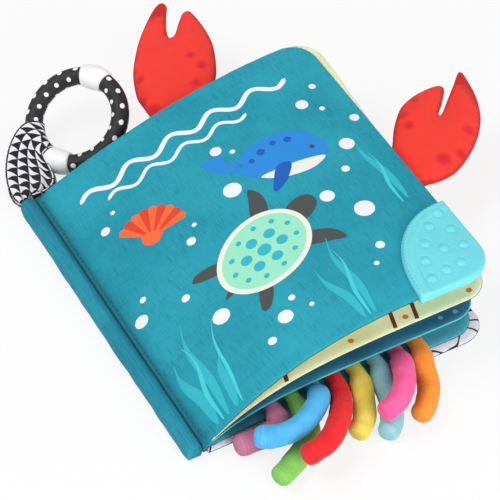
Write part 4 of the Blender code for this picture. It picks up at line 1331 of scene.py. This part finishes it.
RING_RADIUS = 25.8 * MM
RING_TUBE_RADIUS = 5 * MM
RING_TILT = math.radians(28)
RING_NOD = math.radians(14)
RING_FROM_CLAW = 49.3 * MM
RING_BOOK_GAP = 2.3 * MM
RING_FLOOR_GAP = 2.1 * MM
CONNECTOR_ANGLES = (math.radians(52.5), math.radians(232.5))
CONNECTOR_LENGTH = 15 * MM
CONNECTOR_RADIUS = 7 * MM
CONNECTOR_END_RADIUS = 6 * MM
CONNECTOR_SOCKET = 4.5 * MM
DOT_RADIUS = 1.45 * MM
DOT_PITCH = 8.7 * MM
DOT_FROM_BARREL = 2.2 * MM


def ring_centre():
    """Centre of the ring, which leans with one side on the table, clear of the head claw."""
    claw_x = SPINE_X + BOOK_WIDTH * HEAD_CLAW_PLACE_SHARE
    level_share = math.cos(RING_TILT) * math.cos(RING_NOD)
    low = RING_RADIUS * math.sqrt(1 - level_share ** 2)
    height = low + RING_TUBE_RADIUS + RING_FLOOR_GAP
    out = BOOK_HEIGHT / 2 + RING_RADIUS + RING_TUBE_RADIUS + RING_BOOK_GAP
    return Vector((claw_x - RING_FROM_CLAW, out, height))


def ring_axes():
    """The ring's in-plane axes and its normal."""
    nod = Matrix.Rotation(RING_NOD, 3, "X")
    first = nod @ Vector((0, 1, 0))
    second = nod @ Vector((math.cos(RING_TILT), 0, math.sin(RING_TILT)))
    return first, second, second.cross(first)


def ring_frame(angle):
    """Place on the ring's centre line, with the outward and normal directions."""
    first, second, normal = ring_axes()
    outward = first * math.cos(angle) + second * math.sin(angle)
    return ring_centre() + outward * RING_RADIUS, outward, normal


def make_arc(name, start, end, node):
    """Smooth tube arc with printed dots in five staggered rows."""
    frames = [ring_frame(start + (end - start) * i / 72) for i in range(73)]
    verts, faces = tube_mesh(frames, [RING_TUBE_RADIUS] * len(frames), 32)
    arc = add_piece(name, verts, faces, MATERIALS["ring_black"])
    face_out(arc)
    dress(arc, "ring", "ring_black", node)
    verts = []
    faces = []
    pitch = DOT_PITCH / RING_RADIUS
    hidden = (CONNECTOR_SOCKET + DOT_FROM_BARREL) / RING_RADIUS
    rows = 5
    for row in range(rows):
        around = math.radians(54) + 2 * math.pi * row / rows
        shift = pitch / 2 if row % 2 else 0
        along = start + hidden + shift
        while along < end - hidden:
            add_dot(verts, faces, along, around)
            along += pitch
    dots = add_piece(name + "_dots", verts, faces, MATERIALS["ring_white"])
    dress(dots, "ring", "ring_white")


def add_dot(verts, faces, along, around):
    """Append one round dot that lies on the tube."""
    start = len(verts)
    sides = 18
    verts.append(on_tube(along, around, 0.1 * MM))
    for share, rise in ((0.6, 0.1 * MM), (0.92, 0.09 * MM), (1, -0.03 * MM)):
        for step in range(sides):
            turn = 2 * math.pi * step / sides
            forward = DOT_RADIUS * share * math.cos(turn) / RING_RADIUS
            sideways = DOT_RADIUS * share * math.sin(turn) / RING_TUBE_RADIUS
            verts.append(on_tube(along + forward, around + sideways, rise))
    for i in range(sides):
        j = (i + 1) % sides
        faces.append((start, start + 1 + j, start + 1 + i))
        for ring in range(2):
            a = start + 1 + ring * sides
            faces.append((a + i, a + j, a + sides + j, a + sides + i))
    base = start + 1 + 2 * sides
    faces.append(tuple(base + i for i in range(sides)))


def on_tube(along, around, rise):
    place, outward, normal = ring_frame(along)
    out = outward * math.cos(around) + normal * math.sin(around)
    return place + out * (RING_TUBE_RADIUS + rise)


def make_connector(name, middle):
    """Hollow barrel with rounded lips and a fine parting line."""
    half = CONNECTOR_LENGTH / 2 / RING_RADIUS
    steps = 40
    verts = []
    sides = 36
    profile = []
    for step in range(steps + 1):
        share = 2 * step / steps - 1
        radius = CONNECTOR_END_RADIUS + (CONNECTOR_RADIUS - CONNECTOR_END_RADIUS) * (1 - share ** 2)
        lip = max(0, (abs(share) - 0.92) / 0.08)
        line = 0.12 * MM * math.exp(-((share * CONNECTOR_LENGTH / 2) / (0.25 * MM)) ** 2)
        profile.append((share, radius - 0.5 * MM * (1 - math.sqrt(1 - lip ** 2)) - line))
    bore = RING_TUBE_RADIUS + 0.12 * MM
    socket = 1 - CONNECTOR_SOCKET / (CONNECTOR_LENGTH / 2)
    profile += [(1, bore), (socket, bore), (socket, bore * 0.3), (-socket, bore * 0.3),
                (-socket, bore), (-1, bore)]
    for share, radius in profile:
        place, outward, normal = ring_frame(middle + share * half)
        for step in range(sides):
            turn = 2 * math.pi * step / sides
            verts.append(place + (outward * math.cos(turn) + normal * math.sin(turn)) * radius)
    faces = []
    for ring in range(len(profile)):
        faces += ring_faces(ring * sides, (ring + 1) % len(profile) * sides, sides)
    barrel = add_piece("barrel_" + name, verts, faces, MATERIALS["ring_white"])
    face_out(barrel)
    barrel.data.set_sharp_from_angle(angle=math.radians(40))
    dress(barrel, "ring", "ring_white", "ring_connector_" + name)


def make_ring():
    half = CONNECTOR_LENGTH / 2 / RING_RADIUS
    socket = half - CONNECTOR_SOCKET / RING_RADIUS
    first, last = CONNECTOR_ANGLES
    make_arc("arc_left", first + socket, last - socket, "ring_arc_left")
    make_arc("arc_right", last + socket, first + 2 * math.pi - socket, "ring_arc_right")
    make_connector("upper", first)
    make_connector("lower", last)


# Strap

STRAP_ANGLE = math.radians(275)
STRAP_SPREAD = math.radians(24)
STRAP_ROOT_WIDTH = 14 * MM
STRAP_ROOT_HALF = 4.2 * MM
STRAP_ROOT_BACK = 5.5 * MM
STRAP_CLOTH_WIDTH = 30 * MM


def strap_root():
    x = SPINE_X + SPINE_WIDTH / 2
    y = BOOK_HEIGHT / 2 + GAP + STRAP_ROOT_WIDTH / 2
    return Vector((x, y, SPINE_THICKNESS / 2))


def strap_point(across, along):
    """A point of the strap: across from -1 to 1, along from the root over the ring and back."""
    place, outward, normal = ring_frame(STRAP_ANGLE + STRAP_SPREAD * across)
    reach = RING_TUBE_RADIUS + 0.75 * MM
    upper = along <= 0.5
    share = along / 0.5 if upper else (1 - along) / 0.5
    sign = 1 if upper else -1
    fold = 0.62
    if share > fold:
        turn = math.pi / 2 * (share - fold) / (1 - fold)
        return place + (normal * sign * math.cos(turn) - outward * math.sin(turn)) * reach
    t = share / fold
    gathered = (0.3 + 0.35 * (1 - across)) * (1 - t) ** 1.3
    pleat = math.sin(across * 3.5 * math.pi + (0 if upper else 1)) * gathered
    squeeze = math.cos(across * 3.5 * math.pi) * gathered * 0.5 * MM
    root = strap_root() + Vector((squeeze - across * (STRAP_ROOT_HALF - 0.5 * MM), 0, 0))
    root += Vector((0, -STRAP_ROOT_BACK, sign * 1.6 * MM + pleat * 1.3 * MM))
    end = place + normal * sign * reach
    heading = Vector((24 - 50 * across, 16 + 32 * across, sign * 6)) * MM
    arrive = (-outward + normal * sign * 0.15) * (30 + 14 * across) * MM
    a, b = 2 * t ** 3 - 3 * t ** 2 + 1, t ** 3 - 2 * t ** 2 + t
    c, d = 3 * t ** 2 - 2 * t ** 3, t ** 3 - t ** 2
    spot = root * a + heading * b + end * c + arrive * d
    spot.z += pleat * 1.1 * MM
    return spot


def make_strap():
    """Printed cloth band, pleated at the spine and folded round the ring."""
    across_steps = 56
    along_steps = 110
    verts = []
    coords = []
    for j in range(across_steps + 1):
        across = 2 * j / across_steps - 1
        far = 0
        before = None
        for i in range(along_steps + 1):
            spot = strap_point(across, i / along_steps)
            spot.z = max(spot.z, 0.8 * MM)
            spot.y = max(spot.y, BOOK_HEIGHT / 2 + 0.8 * MM)
            far += (spot - before).length if before else 0
            before = spot
            verts.append(spot)
            coords.append((across * STRAP_CLOTH_WIDTH / 2, far))
    faces = grid_faces(across_steps + 1, along_steps + 1)
    strap = add_piece("strap_band", verts, faces, MATERIALS["strap_cloth"], coords)
    thicken(strap, 0)
    dress(strap, "strap", "strap_cloth", "ring_strap")


# Print on the cover

INK_COLOURS = {
    "white": (238, 243, 248),
    "mint": (156, 232, 200),
    "cream": (238, 240, 226),
    "slate": (76, 82, 80),
    "orange": (252, 108, 62),
    "coral": (226, 72, 44),
    "blue": (44, 140, 222),
    "deep": (30, 96, 190),
    "weed": (52, 184, 202),
    "pale_weed": (72, 208, 218),
}


def at(x, y):
    """A place on the cover, in millimetres from the spine and from the tail edge."""
    return Vector((SPINE_X + x * MM, -BOOK_HEIGHT / 2 + y * MM))


def turned(x, y, u, v, turn, size=1):
    """Where (u, v) in units of size lies when turned by degrees and moved to (x, y)."""
    lean = math.radians(turn)
    return (x + size * (u * math.cos(lean) - v * math.sin(lean)),
            y + size * (u * math.sin(lean) + v * math.cos(lean)))


def oval(x, y, wide, tall, turn=0, count=20):
    """Outline of an oval, turned by degrees."""
    points = []
    for i in range(count):
        angle = 2 * math.pi * i / count
        u, v = wide / 2 * math.cos(angle), tall / 2 * math.sin(angle)
        points.append(at(*turned(x, y, u, v, turn)))
    return points


def shape(x, y, size, turn, points):
    """Smooth closed outline through points in units of size, turned and placed."""
    placed = [at(*turned(x, y, u, v, turn, size)) for u, v in points]
    return smooth_curve(placed, steps=6, closed=True)


def ribbon(line, widths):
    """Outline of a band along a line of (x, y), with a width at each point."""
    points = [at(x, y) for x, y in line]
    left = []
    right = []
    for i, point in enumerate(points):
        ahead = ahead_at(points, i)
        normal = Vector((-ahead.y, ahead.x)).normalized() * widths[i] * MM / 2
        left.append(point + normal)
        right.append(point - normal)
    return left + right[::-1]


def lay_print(name, outlines, ink, leaf="front_cover", layer=1):
    """Lay flat outlines on a leaf's front cloth as a skin of ink."""
    work = bmesh.new()
    for outline in outlines:
        kept = [work.verts.new((p.x, p.y, 0)) for p in outline]
        edges = [work.edges.new((a, b)) for a, b in zip(kept, kept[1:] + kept[:1])]
        bmesh.ops.triangle_fill(work, use_beauty=True, edges=edges)
    for _ in range(4):
        long = [e for e in work.edges if e.calc_length() > 4 * MM]
        if not long:
            break
        bmesh.ops.subdivide_edges(work, edges=long, cuts=1)
        bmesh.ops.triangulate(work, faces=work.faces)
    for face in work.faces:
        if face.normal.z < 0:
            face.normal_flip()
    for vert in work.verts:
        x, y = vert.co.x, vert.co.y
        vert.co.z = panel_height(leaf, x, y, 1) + (0.03 + 0.05 * layer) * MM
    mesh = bpy.data.meshes.new(name)
    work.to_mesh(mesh)
    work.free()
    verts = [v.co.copy() for v in mesh.vertices]
    faces = [tuple(p.vertices) for p in mesh.polygons]
    bpy.data.meshes.remove(mesh)
    thing = add_piece(name, verts, faces, ink)
    dress(thing, leaf, None)


def wave_band(y, first, last, height, length, width):
    """A wavy stroke with round ends."""
    count = int((last - first) / 1.2)
    line = []
    widths = []
    for i in range(count + 1):
        x = first + (last - first) * i / count
        line.append((x, y + height * math.sin(2 * math.pi * (x - first) / length)))
        to_end = min(x - first, last - x)
        widths.append(width * math.sqrt(min(1, max(0.04, to_end / (width / 2)))))
    return ribbon(line, widths)


def blade(x, y, height, lean, sway, width):
    """A tapering blade of seaweed that sways as it rises."""
    line = []
    widths = []
    for i in range(31):
        share = i / 30
        line.append((x + lean * share ** 1.4 + sway * math.sin(share * 2.1 * math.pi) * share,
                     y + height * share))
        swell = 0.25 + 1.1 * math.sin(math.pi * min(share * 1.15, 1)) ** 0.8
        widths.append(width * swell * (1 - share ** 6) + 0.3)
    return ribbon(line, widths)


def make_print():
    """Generic sea print: waves, a turtle, a whale, a fan shell, weed and bubbles."""
    ink = {name: print_ink(name, linear(*colour)) for name, colour in INK_COLOURS.items()}
    weeds = [blade(20, 3, 46, -2, 2.2, 3.6), blade(26, 3, 62, 4, 2.6, 3),
             blade(31, 3, 34, 7, 1.6, 3.4), blade(104, 3, 40, -7, 2, 3.2),
             blade(110, 3, 56, 2, 2.6, 3), blade(164, 62, 52, -4, 2.2, 3.2)]
    pale = [blade(23, 3, 50, 3, -2.4, 1.4), blade(107, 3, 48, 5, -2.2, 1.4),
            blade(160, 60, 40, 3, -2, 1.3), blade(34, 3, 52, 9, 1.8, 1.1)]
    lay_print("print_weed", weeds, ink["weed"])
    lay_print("print_pale_weed", pale, ink["pale_weed"], layer=2)

    waves = [wave_band(172, 26, 152, 3.4, 25, 3), wave_band(162, 38, 122, 2.6, 21, 2.2)]
    bubbles = [(18, 84, 7), (24, 94, 3.4), (72, 28, 8), (80, 36, 3.6), (86, 26, 2.6),
               (60, 20, 4.6), (58, 104, 5), (64, 112, 2.6), (96, 148, 6.4), (103, 142, 3),
               (150, 150, 7), (158, 142, 3.2), (162, 160, 4), (134, 40, 5), (126, 30, 3),
               (40, 76, 4.4), (146, 96, 4.6), (170, 128, 5.4), (28, 146, 5), (36, 153, 2.6),
               (140, 66, 11), (128, 84, 8), (48, 52, 9), (90, 118, 10), (156, 112, 8.5)]
    waves += [oval(x, y, size, size, count=28) for x, y, size in bubbles]
    lay_print("print_white", waves, ink["white"], layer=2)
    make_turtle(ink)
    make_whale(ink)
    make_shell(ink)


def make_turtle(ink):
    """A turtle seen from above, with spots on its shell."""
    x, y, lean, size = 84, 72, 24, 24
    limbs = []
    for limb in (((0.62, 0.5), (0.95, 0.62), (1.2, 1.0), (1.16, 1.34), (0.9, 1.12), (0.56, 0.78)),
                 ((-0.7, 0.45), (-1.0, 0.62), (-1.28, 0.94), (-1.1, 1.02), (-0.72, 0.78))):
        limbs += [limb, [(u, -v) for u, v in limb]]
    limbs.append(((-1.0, 0.1), (-1.36, 0), (-1.0, -0.1)))
    limbs.append(((0.96, 0.2), (1.3, 0.3), (1.62, 0.2), (1.72, 0), (1.62, -0.2), (1.3, -0.3),
                  (0.96, -0.2)))
    limbs = [shape(x, y, size, lean, limb) for limb in limbs]
    rim = oval(x, y, 2.34 * size, 1.86 * size, lean, 60)
    shell = oval(x, y, 2.1 * size, 1.62 * size, lean, 60)
    lay_print("print_turtle_limbs", limbs, ink["slate"])
    lay_print("print_turtle_rim", [rim], ink["cream"], layer=2)
    lay_print("print_turtle_shell", [shell], ink["mint"], layer=3)
    marks = []
    for ring, (count, reach, mark) in enumerate(((1, 0, 8), (6, 0.46, 6.6), (11, 0.82, 3.2))):
        for i in range(count):
            angle = 2 * math.pi * (i + ring / 2) / count
            u, v = size * reach * math.cos(angle), size * reach * 0.76 * math.sin(angle)
            marks.append(oval(*turned(x, y, u, v, lean), mark, mark * 0.86, lean, 18))
    lay_print("print_turtle_marks", marks, ink["weed"], layer=4)


def make_whale(ink):
    """A round whale with a pale belly and a spotted back."""
    place = (122, 122, 19, -14)
    body = ((-1.15, 0.42), (-0.5, 0.86), (0.3, 0.92), (0.95, 0.62), (1.3, 0.1), (1.2, -0.36),
            (0.7, -0.72), (-0.1, -0.78), (-0.8, -0.5), (-1.3, -0.02))
    tail = ((-1.1, 0.2), (-1.5, 0.5), (-1.66, 0.96), (-1.9, 0.7), (-2.22, 0.74), (-1.96, 0.36),
            (-1.66, 0.1), (-1.26, -0.04))
    fin = ((0.2, -0.3), (-0.1, -0.9), (-0.5, -1.18), (-0.42, -0.72), (-0.18, -0.24))
    belly = ((1.17, -0.34), (0.7, -0.7), (-0.1, -0.75), (-0.72, -0.5), (-0.2, -0.38), (0.5, -0.3))
    eye = ((0.82, 0.1), (0.9, 0.18), (0.98, 0.1), (0.9, 0.02))
    dots = ((-0.5, 0.42, 0.13), (-0.1, 0.62, 0.1), (0.32, 0.6, 0.12), (-0.82, 0.2, 0.09))
    spots = [shape(*place, ((u - r, v), (u, v + r), (u + r, v), (u, v - r))) for u, v, r in dots]
    lay_print("print_whale_body", [shape(*place, body), shape(*place, tail)], ink["blue"])
    lay_print("print_whale_belly", [shape(*place, belly)], ink["cream"], layer=2)
    lay_print("print_whale_fin", [shape(*place, fin)], ink["deep"], layer=3)
    lay_print("print_whale_spots", spots, ink["deep"], layer=2)
    lay_print("print_whale_eye", [shape(*place, eye)], ink["slate"], layer=3)


def make_shell(ink):
    """A fan shell with ribs of two oranges."""
    x, y, radius, lean = 44, 122, 19, 62
    wedges = {"orange": [], "coral": []}
    count = 9
    for i in range(count):
        low = math.radians(lean - 68 + 136 * i / count)
        high = math.radians(lean - 68 + 136 * (i + 1) / count)
        points = [at(x, y)]
        for step in range(7):
            angle = low + (high - low) * step / 6
            reach = radius * (1 + 0.07 * math.sin(math.pi * step / 6))
            points.append(at(x + reach * math.cos(angle), y + reach * math.sin(angle)))
        wedges["coral" if i % 2 else "orange"].append(points)
    lay_print("print_shell_light", wedges["orange"], ink["orange"])
    lay_print("print_shell_dark", wedges["coral"], ink["coral"])
    foot = shape(x, y, 7, lean, ((0.5, 0.7), (-0.35, 0.62), (-0.6, 0), (-0.35, -0.62), (0.5, -0.7)))
    lay_print("print_shell_foot", [foot], ink["orange"], layer=2)


def page_marks():
    """Brown bars and orange dots at the tail edge of the cream page, pale dots on the navy one."""
    look = print_ink("brown", linear(104, 52, 28))
    bars = []
    for x in (58, 121, 133.8):
        bars.append(ribbon([(x + 0.25 * i, 1.2 + i) for i in range(11)], [2.2] * 11))
    lay_print("page_bars", bars, look, leaf="leaf_2")
    look = print_ink("page_orange", linear(240, 118, 56))
    dots = [oval(x, 5, 3.2, 3.2) for x in (97, 129, 167)]
    dots.append(oval(37.5, 4.6, 9, 5.4, count=24))
    lay_print("page_dots", dots, look, leaf="leaf_2")
    look = print_ink("page_pale", linear(132, 196, 216))
    dots = [oval(x, 5.5, 2.8, 2.8) for x in (151, 160)]
    lay_print("navy_page_dots", dots, look, leaf="leaf_3")


# Stage

FLOOR_REACH = 4
FLOOR_DROP = 0.2 * MM
WORLD_STRENGTH = 0.56
LAMP_SIZE = 0.9
# Each lamp's power in watts and its place
LAMPS = {"key": (10, (-0.75, 0.35, 1.35)), "fill": (8, (0.1, -1.05, 0.4))}
CAMERA_AIM = Vector((0.9 * MM, 2.2 * MM, 15 * MM))
CAMERA_AZIMUTH = math.radians(-28.6)
CAMERA_ELEVATION = math.radians(47)
CAMERA_DISTANCE = 1.3303


def make_stage():
    """Pale floor that stays white to the camera and keeps a soft shadow."""
    mesh = bpy.data.meshes.new("floor")
    corners = ((-1, -1), (1, -1), (1, 1), (-1, 1))
    verts = [(x * FLOOR_REACH, y * FLOOR_REACH, -FLOOR_DROP) for x, y in corners]
    mesh.from_pydata(verts, [], [(0, 1, 2, 3)])
    floor = bpy.data.objects.new("floor", mesh)
    bpy.context.scene.collection.objects.link(floor)
    look = Look("floor", 1)
    look.paint(linear(240, 240, 240))
    nodes = look.tree.nodes
    glow = nodes.new("ShaderNodeEmission")
    path = nodes.new("ShaderNodeLightPath")
    seen = look.calc("MAXIMUM", path.outputs["Is Camera Ray"],
                     look.calc("MAXIMUM", path.outputs["Is Glossy Ray"],
                               path.outputs["Is Transmission Ray"]))
    share = look.calc("MULTIPLY", seen, 0.8)
    both = nodes.new("ShaderNodeMixShader")
    look.tree.links.new(share, both.inputs[0])
    look.tree.links.new(look.shader.outputs[0], both.inputs[1])
    look.tree.links.new(glow.outputs[0], both.inputs[2])
    look.tree.links.new(both.outputs[0], nodes["Material Output"].inputs["Surface"])
    mesh.materials.append(look.material)


def make_lights():
    """Even studio light: a bright surround, a large soft lamp above and a low one in front."""
    world = bpy.data.worlds.new("studio")
    bpy.context.scene.world = world
    world.use_nodes = True
    surround = world.node_tree.nodes["Background"]
    surround.inputs["Color"].default_value = (1, 1, 1, 1)
    surround.inputs["Strength"].default_value = WORLD_STRENGTH
    for name, (energy, place) in LAMPS.items():
        lamp = bpy.data.lights.new(name, "AREA")
        lamp.shape = "DISK"
        lamp.size = LAMP_SIZE
        lamp.energy = energy
        light = bpy.data.objects.new(name, lamp)
        bpy.context.scene.collection.objects.link(light)
        light.location = place
        light.rotation_euler = (-light.location).to_track_quat("-Z", "Y").to_euler()


def make_camera():
    """Long lens at the photograph's angle."""
    level = math.cos(CAMERA_ELEVATION)
    back = Vector((math.sin(CAMERA_AZIMUTH) * level, -math.cos(CAMERA_AZIMUTH) * level,
                   math.sin(CAMERA_ELEVATION)))
    lens = bpy.data.cameras.new("camera")
    lens.sensor_width = 36
    lens.lens = 180
    camera = bpy.data.objects.new("camera", lens)
    bpy.context.scene.collection.objects.link(camera)
    camera.location = CAMERA_AIM + back * CAMERA_DISTANCE
    camera.rotation_mode = "QUATERNION"
    camera.rotation_quaternion = (-back).to_track_quat("-Z", "Y")
    bpy.context.scene.camera = camera


make_camera()
make_lights()
make_stage()
make_leaves()
make_spine()
groove_stitches()
make_claws()
make_teether()
make_tentacles()
make_ring()
make_strap()
make_print()
page_marks()

bpy.context.scene.view_settings.view_transform = "Standard"
bpy.context.view_layer.update()
